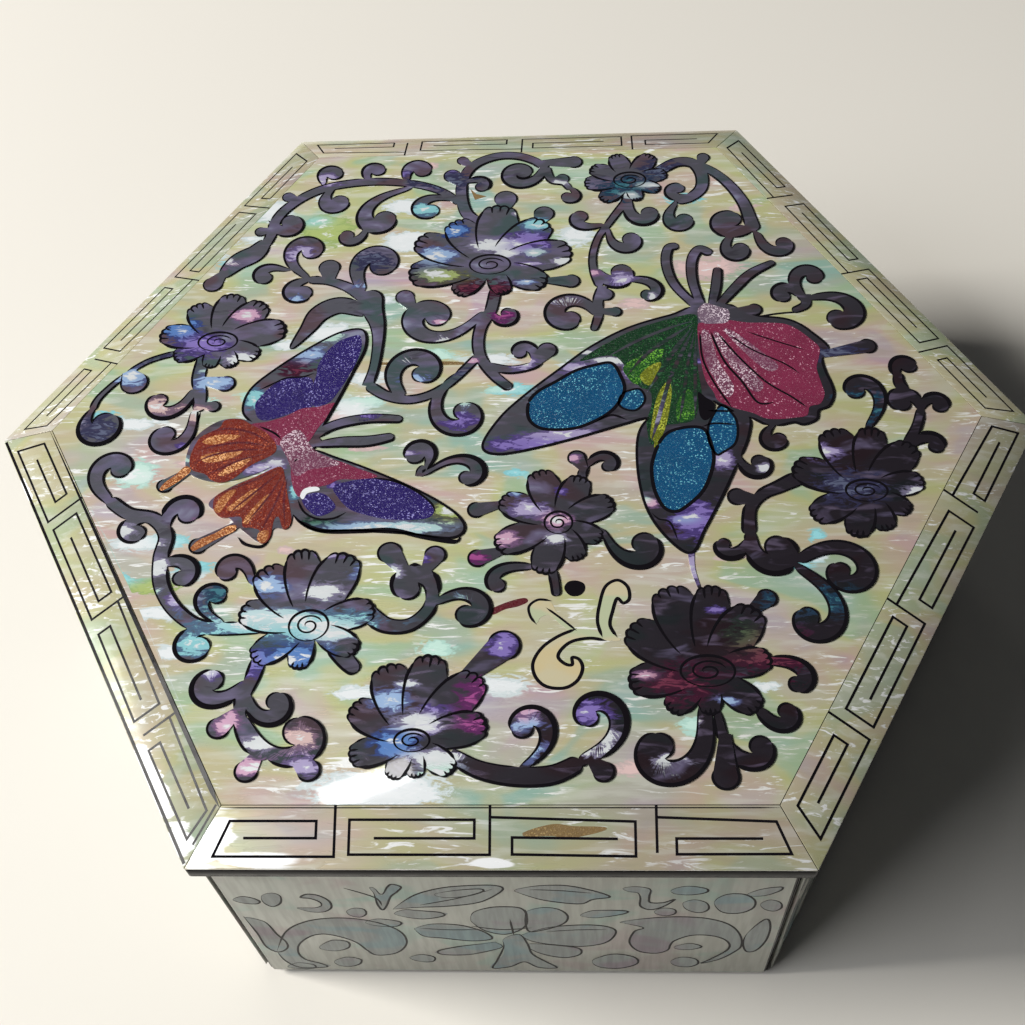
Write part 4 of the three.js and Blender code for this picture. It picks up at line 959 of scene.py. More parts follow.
# %% Painted highlights and tints of the dark shell
# Each flash: hue, x, y, reach along x, reach along y.
HUES = {
    "white": (0.86, 0.90, 0.92), "mint": (0.62, 0.88, 0.78), "cyan": (0.34, 0.74, 0.80), "sky": (0.42, 0.60, 0.90),
    "blue": (0.13, 0.28, 0.66), "violet": (0.30, 0.22, 0.62), "lilac": (0.52, 0.45, 0.72), "pink": (0.78, 0.48, 0.66),
    "magenta": (0.46, 0.10, 0.34), "maroon": (0.20, 0.04, 0.08), "teal": (0.06, 0.22, 0.28),
    "lime": (0.46, 0.56, 0.20), "slate": (0.14, 0.16, 0.26), "green": (0.05, 0.16, 0.07), "blush": (0.80, 0.58, 0.56),
}
DIM = {"maroon": 0.5, "magenta": 0.55, "green": 0.4, "slate": 0.5, "teal": 0.5, "violet": 0.8}
DARK_SHELL_HIGHLIGHTS_AND_TINTS = [
    ("white", -3.5, 36, 3, 1.3), ("white", -1, 34, 1.6, 0.8), ("cyan", 4, 40.5, 2.4, 1.2),
    ("blue", -9.5, 39.5, 2.2, 1.6), ("sky", -12, 34, 2.6, 1.6), ("lime", -11, 29.5, 3.4, 1.2),
    ("white", 8, 32, 1.8, 0.8), ("violet", 2, 36.5, 3.5, 2.4), ("slate", -14, 31, 3, 2.4), ("maroon", -4, 26.5, 5, 2),
    ("blue", -51, 19.5, 2.6, 1.8), ("pink", -41, 22, 2.2, 1.4), ("white", -40.5, 13, 2.2, 1.2),
    ("sky", -44, 8.5, 2.8, 1.4), ("sky", -57, 10, 2.4, 1.6), ("blush", -52, 4, 2.6, 1.4), ("blush", -46, 2.5, 2, 1.4),
    ("violet", -47, 16, 3.4, 2.2), ("slate", -52, 12, 4, 2.6), ("cyan", -28, -33, 11, 1.9),
    ("white", -31, -32.2, 4.5, 1.2), ("white", -22, -34, 3, 1.2), ("sky", -32, -27, 2.6, 1.5),
    ("white", -24, -28, 2.4, 1.3), ("sky", -18, -25, 2.2, 1.2), ("white", -15, -25, 1.4, 0.9),
    ("teal", -38.5, -28.5, 3, 2), ("cyan", -40, -36, 2.6, 1.4), ("blue", -27, -38, 4, 1.8),
    ("violet", -34, -39, 3.4, 2), ("blush", -24.9, -49.2, 2.2, 1.2), ("pink", -31, -53, 2.2, 1),
    ("lilac", -24, -53, 2.2, 1.2), ("pink", -34, -47, 1.6, 1.6), ("white", -30, -50, 2.4, 0.9),
    ("sky", -14, -44, 2.2, 1.4), ("white", -10, -47, 2.6, 1.1), ("magenta", -3, -43, 2.6, 2),
    ("white", -8, -52, 2.8, 1.1), ("blue", -13, -50, 2.4, 1.6), ("mint", -7, -54, 2.2, 1),
    ("magenta", -3, -47, 2.4, 1.6), ("violet", 0, -36, 1.8, 1.8), ("pink", 3, -45, 1.8, 1.4),
    ("sky", 3, -51, 2.4, 1.2), ("violet", 11, -46, 2.4, 1.6), ("white", 13, -49, 1.8, 0.9),
    ("white", 12, -51, 2, 0.8), ("white", -53, -18, 1.8, 1.4), ("white", -47, -24, 2.2, 1.3),
    ("lilac", -43, -29, 2, 1.4), ("pink", 7, -17, 1.8, 1), ("white", 7, -20, 1.6, 0.8), ("lilac", 3, -15, 2.2, 1.2),
    ("pink", 0, -20, 1.8, 1), ("magenta", -4, -23, 2.2, 1.2), ("white", 56, -13.5, 1.6, 1.2),
    ("lilac", 44, -6, 2.2, 1.2), ("white", 35.8, -8.5, 0.9, 0.8), ("white", 21.5, 24, 0.8, 0.8),
    ("lilac", 17, 28, 1.8, 1.4), ("sky", -14, 8.5, 1.8, 1), ("magenta", -1.5, 20.5, 2, 1.4), ("lilac", 2, 11, 2, 1.2),
    ("slate", -6, 9, 2.4, 1.4), ("violet", -7, 0.5, 2.4, 1.4), ("cyan", -14.5, 44.5, 2.4, 1.2),
    ("lilac", -34, 35, 2, 1.4), ("slate", -22, 33, 3.2, 2.2), ("teal", 18, 48, 5, 3), ("slate", 24, 53, 3.5, 2.5),
    ("teal", 40, -30, 6, 2.4), ("maroon", 35, -38, 6, 4), ("maroon", 22, -42, 4, 3), ("green", 31, -35, 3, 2.4),
    ("slate", 47, -12, 5, 3), ("teal", 50, 2, 4, 3), ("slate", -12, 51, 6, 2.4), ("lilac", -32, 52, 3, 1.4),
    ("slate", -60, 0, 3, 3), ("lilac", 10, 10, 2.6, 1), ("white", 15, 11.4, 2.4, 0.7), ("mint", 2, 6.4, 1.6, 1.6),
    ("lilac", 8, -2.2, 4, 0.9), ("violet", 4, -4, 6, 1.4), ("lilac", 30, -7, 1.6, 1.6), ("violet", 26, -17, 3, 3),
    ("lilac", 17.6, 9.6, 0.8, 1.8), ("sky", -30, 13.6, 2.2, 1.2), ("mint", -28, 17, 2.4, 1.2),
    ("cyan", -37.6, 5.4, 1.4, 1.8), ("sky", -18, -18, 7, 0.8), ("lime", -8, -15.4, 2, 1.4),
    ("mint", -14, -18, 5, 0.9), ("lilac", -35, -7.6, 2.6, 1), ("white", -33, -6.4, 1.2, 0.5),
    ("cyan", -29.6, -11.4, 0.7, 1.6), ("green", -26, -17, 3, 1.2), ("maroon", -32, 11, 3, 1.6),
    ("slate", 48, 12, 4, 2),
]
# Ninety more small painted highlights and tints, at random places over the lid.
spot_rng = np.random.default_rng(11)
for _ in range(90):
    hue = ["white", "lilac", "sky", "mint", "pink", "white", "violet"][spot_rng.integers(7)]
    place = spot_rng.uniform((-60, -55), (30, 56))
    DARK_SHELL_HIGHLIGHTS_AND_TINTS.append((hue, *place, *spot_rng.uniform((0.8, 0.35), (2.0, 0.7))))


def paint_highlights_and_tints(piece, flashes, strength=1.0):
    """Gives every point of a piece the colour of the painted highlights and tints over it, and their strength as
    alpha.
    """
    mesh = piece.data
    spots = np.empty(len(mesh.vertices) * 3)
    mesh.vertices.foreach_get("co", spots)
    spots = spots.reshape(-1, 3)[:, :2] / MM
    colour = np.zeros((len(spots), 3))
    total = np.full(len(spots), 1e-6)
    for hue, x, y, along, across in flashes:
        power = DIM.get(hue, 1) * np.exp(-(((spots[:, 0] - x) / along) ** 2) - ((spots[:, 1] - y) / across) ** 2)
        colour += power[:, None] * np.array(HUES[hue])
        total += power
    values = np.ones((len(spots), 4))
    values[:, :3] = colour / total[:, None]
    values[:, 3] = np.clip(total * strength, 0, 1)
    mesh.attributes.new("highlights_and_tints", "FLOAT_COLOR", "POINT").data.foreach_set("color", values.ravel())


print("flashes of the dark shell:", len(DARK_SHELL_HIGHLIGHTS_AND_TINTS))

# %% [markdown]
# Each figure becomes two pieces. The shell piece merges all its shapes and stands for the figure of the frame. The
# ink piece lies on top, just inside the frame's height. A petal is inked all round its tip and down one side, with
# a few short ticks at its end, because every petal tucks under its neighbour.

# %% Cut and ink a figure
SHELL_HEIGHT = FIGURE_TOP - 0.04
PAINT_HEIGHT = FIGURE_TOP - 0.03
PAINT_STEP, RIB_HEIGHT, STROKE_HEIGHT = 0.0018, PAINT_HEIGHT + 0.0262, PAINT_HEIGHT + 0.028
INK_HEIGHT = FIGURE_TOP
NET_GRAIN, FIELD_GRAIN = 0.55, 0.9
rng = np.random.default_rng(7)


def figure_shapes(figure):
    """The shapes of a figure: rows of small shapes for the shell, and whole outlines for the ink to test against."""
    cut, outlines = [], []
    for stem in figure.get("stems", []):
        edges = stem_edges(*stem)
        cut += band(*edges)
        outlines.append(("stem", closed_band(*edges), edges))
    for scroll in figure.get("scrolls", []):
        edges = scroll_edges(*scroll)
        cut += band(*edges)
        outlines.append(("scroll", closed_band(*edges), edges))
        bulb = scroll_bulb(*scroll)
        cut.append(bulb)
        outlines.append(("lobe", bulb, (np.vstack([bulb, bulb[:1]]),)))
    for lobe in figure.get("lobes", []):
        outline = lobe_outline(*lobe)
        cut.append(outline)
        outlines.append(("lobe", outline, (outline,)))
    if "flower" in figure:
        flower = figure["flower"]
        for outline in flower_petals(flower["hub"], flower["petals"]):
            cut.append(outline)
            outlines.append(("petal", outline, (outline,)))
    for kind in ("wings", "hind_wings", "leaves"):
        for wing in figure.get(kind, []):
            outline = smooth_line(wing, 7, closed=True)
            cut.append(outline)
            outlines.append((kind, outline, (outline,)))
    return cut, outlines


def swelling(count, thin, thick):
    t = np.linspace(0, 1, count)
    return thin + (thick - thin) * np.clip(np.sin(math.pi * t**1.3), 0, 1)


def figure_ink(figure, outlines):
    """Ink on every edge that shows, thinner towards the back, and on the petals and hub of the flower."""
    ink = []
    for i, (kind, _, edges) in enumerate(outlines):
        others = [outline for j, (_, outline, _) in enumerate(outlines) if j != i]
        share = float(np.interp(edges[0][0][1], (-15, 35), (1, 0.66)))
        if kind == "scroll":
            ink += visible_ink(edges[0], share * swelling(len(edges[0]), 0.16, rng.uniform(0.4, 0.8)), others)
            ink += visible_ink(edges[1], share * swelling(len(edges[1]), 0.14, rng.uniform(0.25, 0.5)), others)
        elif kind == "stem":
            ink += visible_ink(edges[0], share * 0.2, others)
            ink += visible_ink(edges[1], share * 0.36, others)
        elif kind == "lobe":
            ink += visible_ink(edges[0], share * 0.28, others)
        elif kind == "wings":
            ink += visible_ink(np.vstack([edges[0], edges[0][:1]]), 0.34, others)
    if "flower" in figure:
        ink += flower_ink(figure["flower"])
    return ink


def flower_ink(flower):
    ink = []
    hub = np.array(flower["hub"][:2])
    ring_size = max(flower["hub"][2:])
    petals = flower_petals(flower["hub"], flower["petals"])
    for i, outline in enumerate(petals):
        direction, length = flower["petals"][i]
        others = [petal for j, petal in enumerate(petals) if j != i]
        first = int(np.clip(ring_size * 1.15 / length, 0.3, 0.6) * SIDE_POINTS)
        tip_end = SIDE_POINTS + END_POINTS
        right, tip = outline[1 + first:SIDE_POINTS + 2], outline[SIDE_POINTS:tip_end]
        left = outline[tip_end - 2:tip_end + SIDE_POINTS - 1 - first]
        ink += ink_line(left[::-1], np.linspace(0.2, 0.5, len(left)))
        ink += visible_ink(right, 0.26, others)
        ink += visible_ink(tip, swelling(len(tip), 0.2, rng.uniform(0.26, 0.46)), others)
        out = direction_of(math.radians(direction))
        for notch in NOTCH_POINTS:
            inward = hub + (outline[notch] - hub) * 0.5 + out * length * 0.2 - outline[notch]
            size = rng.uniform(0.16, 0.42)
            tick = outline[notch] + inward * np.linspace(-0.05, size, 6)[:, None]
            ink += ink_line(tick, np.linspace(0.4, 0.16, 6), 0.3)
    t = np.linspace(0, 2 * math.pi, 40)
    radii = flower["hub"][2:]
    ring = direction_of(t) * radii
    ink += band(*offset_both_ways(hub + ring, 0.13 + 0.06 * np.sin(t)))
    turns = np.linspace(0.3, 3.1 * math.pi, 60)
    ink += ink_line(hub + direction_of(turns) * radii * np.linspace(0.7, 0.16, 60)[:, None], 0.24)
    return ink


for name, figure in FIGURES.items():
    cut, outlines = figure_shapes(figure)
    slot = "painted_shell" if name.startswith("butterfly") else "dark_shell"
    shell = raise_sheet(name + "_shell", cut, FIELD_TOP, SHELL_HEIGHT, DARK_SHELL, slot, [name], grain=NET_GRAIN)
    paint_highlights_and_tints(shell, DARK_SHELL_HIGHLIGHTS_AND_TINTS)
    raise_sheet(name + "_ink", figure_ink(figure, outlines), FIELD_TOP, INK_HEIGHT, INK, "lacquer")
    print(name, len(cut), "shapes")

# %% [markdown]
# The field is one big pale sheet under the figures. Its copy carries its own flashes: painted highlights, mostly
# white, where the light glares on the shell, and a few pink, green and cyan tints.

# %% The pale field
FIELD_HIGHLIGHTS_AND_TINTS = [
    ("white", -17.5, 45.5, 4, 1.6), ("white", -40, 45, 3, 2), ("white", -18, 37.5, 2.4, 1.6),
    ("white", 10, 38, 2.4, 2), ("white", -28, 18, 3.6, 1.8), ("white", -23, 3, 2.4, 1.6), ("white", 2, 2, 2, 1.4),
    ("white", -15.5, -55.8, 7.2, 2), ("white", -13, -56.4, 5, 1.2), ("white", -50, -20, 4, 1),
    ("lime", -47, -27, 3.5, 1), ("white", -45, -31, 4, 1), ("white", -43, -37, 2.5, 1), ("mint", -53, -8, 2.5, 2),
    ("white", -18, -43, 3, 0.8), ("white", -36, 2, 3, 1), ("white", -55, 1, 4, 0.9), ("white", -48, 38, 2.6, 1),
    ("white", -3, 12, 3.4, 1.2), ("white", 16, 6, 1.8, 1), ("white", 0, -42, 3, 1.2), ("lime", -30, 40, 4, 3),
    ("blush", 30, 30, 5, 2),
]
FIELD_CORNER = 66.8
corners = FIELD_CORNER * direction_of(np.radians(60 * np.arange(6)))
field_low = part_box("field_sheet")[0].z / MM
# Seventy more small painted highlights and tints of the field, at random places.
for _ in range(70):
    hue = ["white", "white", "mint", "blush", "cyan"][rng.integers(5)]
    place = rng.uniform((-60, -55), (45, 55))
    FIELD_HIGHLIGHTS_AND_TINTS.append((hue, *place, *rng.uniform((0.9, 0.5), (2.8, 1.1))))
field = raise_sheet("field", [corners], field_low, FIELD_TOP, PALE_SHELL, "pale_shell", ["field_sheet"],
                    grain=FIELD_GRAIN)
paint_highlights_and_tints(field, FIELD_HIGHLIGHTS_AND_TINTS, 0.9)
print("field flashes:", len(FIELD_HIGHLIGHTS_AND_TINTS), "points:", len(field.data.vertices))

# %% [markdown]
# Between the figures there are marks that hardly rise from the pale field: small cream scrolls with ink round
# them, a few loose lines, a dot and a twig of dark shell. Two brown flaws and a red smear are wear. Each is a thin
# sheet that starts inside the field and ends just above it.

# %% Marks on the field
SUNK = FIELD_TOP - 0.1
PALE_MARKS = [
    [9.6, -33.9, 7.2, -35, 5.1, -36.7, 4, -38.9, 4.4, -40.9, 5.8, -42.2, 8, -42.4, 9.6, -41.4, 10.3, -39.7,
    9.9, -38.4, 9, -38.1, 8.7, -39.1, 8.1, -39, 7.2, -38, 7.7, -36.8, 9.1, -35.7, 11.4, -35.3, 14, -35.7,
    12.9, -34.6],
    [4.6, -29.5, 3.5, -30.5, 3.6, -32, 4.4, -33, 5, -32.1, 6.2, -31.9, 7.6, -33.3, 9.5, -34.6, 14.4, -35.7,
    15.1, -35.3, 12.9, -34.9, 9.5, -33.8, 7.2, -31.6, 6.2, -29.9],
    [12.9, -35.2, 12.3, -32.9, 12.6, -30.3, 13.4, -27.6, 15, -26.6, 16.3, -27.6, 16.5, -29.4, 15.7, -30.1,
    14.9, -29.6, 14.2, -31.2, 13.8, -33.4, 14.8, -35.3],
]
FIELD_LINES = [
    (0.45, [9.6, -33.9, 7.2, -35, 5.1, -36.7, 4, -38.9, 4.4, -40.9, 5.8, -42.2, 8, -42.4, 9.6, -41.4, 10.3, -39.7,
    9.9, -38.4, 9, -38.1, 9, -39.1, 8.1, -39, 7.2, -38, 7.7, -36.8, 9.1, -35.7, 11.4, -35.3, 13.4, -35.7]),
    (0.36, [6.4, -29.7, 4.6, -29.5, 3.4, -30.5, 3.6, -32, 4.4, -33.2]), (0.3, [5.6, -30.7, 7.3, -32.1, 9.6, -34.2]),
    (0.45, [12.9, -35.2, 12.3, -32.9, 12.6, -30.3, 13.4, -27.6, 15, -26.6, 16.3, -27.6, 16.5, -29.4, 15.7, -30.1,
    14.9, -29.4, 14.3, -31.2, 13.9, -33.4, 14.8, -35.2]), (0.35, [-45.3, 3, -45.5, -2, -44, -9]),
    (0.35, [36.5, 19.5, 40, 20.2, 43.5, 20.5]),
]
DOT = [8, -27.8, 8.5, -26.8, 9.6, -26.6, 10.6, -27.1, 10.7, -28.1, 10, -28.9, 8.8, -28.9]
SMEAR = [-1.7, -31, 0.3, -29.9, 2.7, -29.2, 3.2, -29.8, 1.9, -30.5, 0.3, -30.9, -1.3, -31.7]
cream = [closed_outline(mark) for mark in PALE_MARKS]
raise_sheet("pale_scrolls", cream, SUNK, FIELD_TOP + 0.02, CREAM_SHELL, "pale_shell")
twig = band(*stem_edges(0.9, 0.6, 0.4, 24.9, -22.4, 25, -25, 25.7, -28))
twig = raise_sheet("twig", twig, SUNK, FIELD_TOP + 0.1, DARK_SHELL, "dark_shell")
paint_highlights_and_tints(twig, [("lilac", 25, -25, 2, 2)])
flaws = band(*stem_edges(0.25, 0.75, 0.15, -21, 11.9, -15, 11.5, -9, 11.6, -5, 11.2))
flaws.append(np.array([(-7.4, 49.3), (-6.5, 46.6), (-4.6, 47.4), (-6.3, 48)]))
raise_sheet("flaws", flaws, SUNK, FIELD_TOP + 0.01, BROWN_FLAW, "painted_shell")
raise_sheet("red_smear", [closed_outline(SMEAR)], SUNK, FIELD_TOP + 0.02, DRIED_RED, "painted_shell")
field_ink = []
for width, row in FIELD_LINES:
    field_ink += ink_line(smooth_line(row, 12), width)
field_ink.append(closed_outline(DOT))
raise_sheet("field_ink", field_ink, SUNK, FIELD_TOP + 0.03, INK, "lacquer")
print("field marks:", len(field_ink))

# %% [markdown]
# ## Butterflies
# The wings are painted in cells of glitter between ink lines. Every cell is a thin film over the wing's shell, and
# each kind of paint lies a hair higher than the one before, so that no two films share a surface. Dark ribs, dried
# red strokes and ink lines come on top.

# %% Paint the wings
WING_CELLS = {
    # name: (paint, width of its ink edge, outlines)
    "blue": (SEA_BLUE, 0.5, [[2.9, 3.7, 4.2, 5.7, 6.9, 7.6, 9.6, 9.5, 12.3, 10.5, 15, 10.9, 16.3, 8.4, 16.8, 5.9,
        15.9, 3.4, 14.4, 1.5, 12.1, -0.1, 9.5, -1.2, 6.5, -1.4, 4.3, -0.9, 2.9, 0.8], [21.3, -4.3, 22.8, -2.2,
        25.5, -1.3, 27.7, -1.6, 28.5, -3.5, 28.9, -6.7, 28.2, -9.8, 27, -12.5, 25.1, -14.6, 23.3, -15.8, 21.7, -15.2,
        20.6, -12.8, 20.2, -10.2, 20.3, -7.5]]),
    "small_blue": (SEA_BLUE, 0.34, [[16.4, 4.9, 17.5, 5.6, 19, 5.8, 19.7, 4.3, 19.3, 2.9, 18.2, 1.9, 16.7, 2.2,
        15.9, 3.2], [29.9, 1.9, 30.9, 2.6, 31.9, 1.2, 32.5, -0.3, 32.5, -2.6, 31.9, -4.5, 30.3, -5.8, 29.3, -6.2,
        28.4, -3.9, 28.5, -1.1]]),
    "fan": (DEEP_GREEN, 0, [[27.8, 20.2, 23.8, 19.4, 19, 17.6, 15.1, 15.3, 11.1, 12.3, 10.7, 11.4, 15, 12.4,
        16.9, 10.4, 17.2, 8.3, 19, 6.3, 20.5, 5.3, 20.6, 2.9, 19.8, -0.5, 20.2, -4.2, 21.3, -3.3, 22.5, -1, 24, -0.7,
        26.3, -0.1, 27.3, 2.2, 27.9, 5.1, 27.6, 10.1, 27.9, 16.2]]),
    "fan_glitter": (GREEN, 0, [[16.9, 10.4, 20.4, 12.8, 22.8, 13.3, 21.1, 9.3, 18.7, 6.8, 17.2, 8.3], [24.2, 2.8,
        25.4, 5.2, 26.5, 5.2, 26.7, 0.8, 25.5, -0.1, 24.2, -0.2]]),
    "fan_gold": (YELLOW, 0, [[19.1, 8.3, 20.7, 10.3, 22.3, 10.7, 21.4, 7.7, 20.2, 6.5], [20.7, -3.8, 20.2, -2.8,
        20.7, 0.9, 21.6, 4.8, 23.1, 7.2, 23.6, 5.7, 23.2, 2.3, 22.5, -1, 21.5, -3.8, 20.7, -4.9]]),
    "rose": (ROSE, 0, [[28.1, 18.1, 29.2, 18.6, 32.4, 19, 35.5, 18.4, 38.2, 18.3, 40.9, 18, 42.7, 16.9, 44.4, 15,
        45.6, 13.2, 45.3, 11.2, 44.8, 9.2, 45.2, 6.2, 45.4, 4.3, 44.6, 2.6, 43.1, 2.1, 42.5, 0.5, 40.7, 0.1,
        38.4, -0.1, 36.6, 0.1, 34.9, 1.1, 32.3, 2.1, 30.2, 3.4, 29.6, 5.1, 28.7, 7.1, 28.2, 10.1, 28, 14.2]]),
    "rose_sparkle": (ROSE_FLAKE, 0, [[28.5, 16.5, 29.7, 16.5, 30.7, 11, 32.6, 6, 31.5, 4.1, 30.1, 7.1, 28.8, 11.1],
        [30.3, 16.2, 31.2, 16.2, 34.1, 11, 36.8, 6.4, 35.5, 5, 33.5, 8, 31.5, 12], [31.9, 16.9, 33.4, 16.6,
        36.9, 12.9, 39.3, 9.8, 37.7, 8.9, 35, 12]]),
    "head": (LILAC, 0, [[28.2, 21, 29.5, 22.5, 31.4, 21.7, 32.9, 20.9, 32.6, 18.7, 30.8, 18.3, 28.8, 18.6]]),
    "navy": (NAVY, 0, [[-28.7, 11.6, -27.7, 14.1, -26, 16.2, -24, 17.2, -22.9, 17.2, -22.5, 15, -23, 12, -24.2, 8.6,
        -25.4, 5.9, -26.4, 4.3, -28.2, 3.5, -28.9, 4.7, -29.1, 7.6, -28.8, 9.6], [-37.3, 4.1, -36.6, 5.7, -35.2, 7.7,
        -33.5, 8.9, -31, 9.2, -29.4, 8.8, -28.8, 5.9, -28.8, 3.6, -30.9, 2.8, -33.3, 1.7, -35.4, 1.1, -36.7, 1.8]]),
    "low_navy": (NAVY, 0, [[-24.3, -10.9, -21.7, -9.9, -18.8, -9.6, -15.8, -10.2, -12.7, -11.9, -10.5, -14,
        -9.9, -15.4, -10.7, -16.4, -13, -16.7, -16.5, -16.5, -19.5, -15.7, -21.6, -14.8, -23.2, -13.1], [-28.3, -12.5,
        -26.6, -11.9, -25.1, -12.4, -23.7, -14.1, -24.2, -15.2, -25.9, -15.9, -27.5, -14.8, -28.4, -13.4]]),
    "pink": (ROSE, 0, [[-37.4, 0.4, -35, 0.9, -32.4, 1.9, -30.3, 3.2, -27.9, 3.5, -25.5, 4.2, -25.9, 2.3, -27.5, -0.4,
        -28.5, -2.7, -29.6, -3.8, -31.4, -3.7, -33.3, -3.3, -34.7, -1.8, -36.3, -1], [-30.5, -5.8, -29.4, -5.3,
        -26.9, -5.7, -23.8, -6.5, -21.3, -7.7, -18.2, -9.2, -20.6, -9.7, -23.5, -9.7, -24.9, -10.5, -26.4, -10.9,
        -28.2, -11.2, -28.9, -12.6, -29.9, -11.2, -30.6, -8.2]]),
    "pink_sparkle": (ROSE_FLAKE, 0, [[-32.7, -3.3, -32.2, -1.8, -30.5, -0.7, -29.2, -1.9, -28.4, -3.4, -27, -4.9,
        -24.8, -6.1, -23.8, -7.1, -26.1, -7.6, -27.9, -7.9, -29.6, -9, -30.5, -7.9, -31.5, -5.6]]),
    "copper": (COPPER, 0, [[-42, -0.1, -41.3, 1.3, -39.1, 1.4, -37.4, 0.4, -34.7, -1.4, -33.2, -3.7, -33.7, -5.2,
        -36.5, -7, -38.6, -9.2, -40.3, -9.9, -41.8, -9.5, -42.9, -8.4, -44.9, -7.6, -45.5, -5.4, -44.8, -2.3,
        -43.7, -1.2], [-40.9, -13.9, -40.6, -12.1, -37.8, -10.3, -35, -8.7, -32.2, -7.3, -31.3, -9.3, -30.8, -11.5,
        -30.2, -13.7, -29.6, -16.2, -29.8, -17.6, -30.6, -17.9, -31.4, -16, -32, -16.5, -32.2, -19.3, -33, -20.3,
        -34, -19.6, -33.8, -18.2, -35, -17.7, -36.2, -17.5, -36.7, -15.9, -38.2, -15.9, -39.4, -15.9, -40.4, -15.1]]),
    "gold": (GOLD, 0, [[-44.1, -2.7, -42.7, -1.6, -40.3, -1.4, -38.7, -1.7, -40.1, -2.5, -42.5, -3.2], [-44, -5.4,
        -42.3, -4.7, -39.9, -4.4, -38, -4.4, -39.1, -5.5, -41.4, -6.3, -43.2, -6.3], [-40.9, -8.4, -39.5, -7,
        -37.8, -6, -36.6, -5.7, -37.6, -7.2, -39.3, -8.3, -40.4, -8.8], [-40.6, -14.6, -40.2, -12.8, -38.9, -11.4,
        -38, -11.4, -38.9, -13.2, -39.8, -15.1], [-38.9, -14.6, -37.5, -12.9, -35.9, -11.4, -34.7, -11.1,
        -35.7, -12.9, -37.2, -14.6], [-36.3, -16.6, -35.4, -14.7, -33.9, -12.5, -33.1, -12.2, -33.8, -14, -35, -15.9,
        -35.7, -17.1], [-33.9, -19.6, -33.8, -18.4, -32.6, -18.2, -32.5, -19.4, -33.1, -20.2], [-49, -11, -48.4, -9.8,
        -47.1, -8.5, -45.9, -7, -45, -7.8, -46.1, -9.3, -47.7, -10.7, -48.8, -11.3], [-43, -21, -42.1, -19.7,
        -39.9, -18.5, -38.3, -17.4, -37.2, -17.3, -37.3, -18.2, -39.2, -19.3, -41.3, -20.7, -42.5, -21.4]]),
}
WING_RIBS = [
    (0.5, [27.3, 18.9, 22.9, 17.2, 18.2, 14.7, 14.2, 11.9]), (0.6, [27.3, 18.4, 22.8, 14.8, 19.6, 11.8, 17.2, 8.3]),
    (0.7, [27.3, 17.8, 24.7, 13.7, 22.2, 9.2, 20.1, 5.3]),
    (0.6, [27.4, 17.3, 25, 11.7, 23.3, 7.2, 21.5, 0.4, 20.2, -4.2]),
    (0.45, [27.6, 16.8, 26.3, 11.1, 25.4, 5.2, 24.4, -0.6]), (0.5, [27.7, 16.2, 27.3, 11.1, 27, 5.2, 26.7, 0.3]),
]
BROWN_STROKES = [
    [-33.8, -3.4, -37, -1.2, -41, -0.3, -44, -1.4], [-34, -3.8, -38, -2.9, -42, -3.4, -44.8, -4.4],
    [-34.4, -4.4, -38, -4.2, -42, -5, -45, -6.6], [-34.6, -5, -38, -6, -41, -7.6, -43, -8.6],
    [-32.4, -7.6, -36, -9.8, -39.4, -11.4, -40.8, -12.6], [-32, -8, -34.6, -11, -37.4, -14, -38.6, -15.6],
    [-31.6, -8.4, -33, -12, -35, -15.6, -36, -17], [-31.2, -9, -32, -13, -33, -16.4, -33.8, -19],
    [-31, -9.4, -31, -13, -30.6, -16, -30.4, -17.4],
]
WING_LINES = [
    (0.26, [19.9, -16, 20.8, -17, 22.3, -17.6, 23.2, -20.4]), (0.34, [12.5, -0.1, 14.8, 1.1, 17, 0.2]),
    (0.3, [27.5, -1.3, 29.4, -0.7, 32.5, -1]), (0.3, [28.3, 16.8, 28.4, 11.6, 29.7, 7.1, 32, 2.1]),
    (0.34, [29.9, 16.7, 31.5, 11, 33.8, 7, 35.8, 3, 38.2, 3]),
    (0.3, [31, 16.2, 33.8, 11.5, 37.2, 6.9, 40.7, 3.9, 42.7, 1.9]),
    (0.24, [32.6, 16.1, 35.8, 13, 40.1, 10.3, 42.2, 8.3]), (0.22, [35.3, 16.6, 38.7, 14.9, 43.4, 12.8]),
    (0.28, [-37, 6.9, -34.7, 8.3, -33.2, 9.1, -30.7, 9.3, -29.2, 10]),
    (0.3, [-18.8, -9.5, -15.8, -10.1, -12.7, -11.8, -10.4, -13.9, -9.7, -15.5]),
    (0.3, [-29.1, -13, -28, -15.1, -26.1, -16.3, -23.8, -16.3, -22.1, -15.3]),
    (0.62, [-28.7, -16.5, -26.6, -17.8, -24.2, -18.4, -19.8, -18.4, -15.5, -18.3, -11.1, -19.5, -7, -20.3,
    -6.1, -19.6]), (0.4, [-36.7, -19.2, -35.6, -20.3, -33.5, -20.8, -32.4, -20]),
]
BLACK_WEDGE = [27.4, 5.1, 28.4, 4.1, 29.6, 2.9, 29.1, 0.8, 28.1, -0.1, 27.4, 0.8, 27.3, 3.2]
WHITE_CRESCENT = [-28.8, -12.4, -28.3, -11.2, -26.7, -10.9, -26.2, -11.5, -27.8, -12, -28.3, -13]

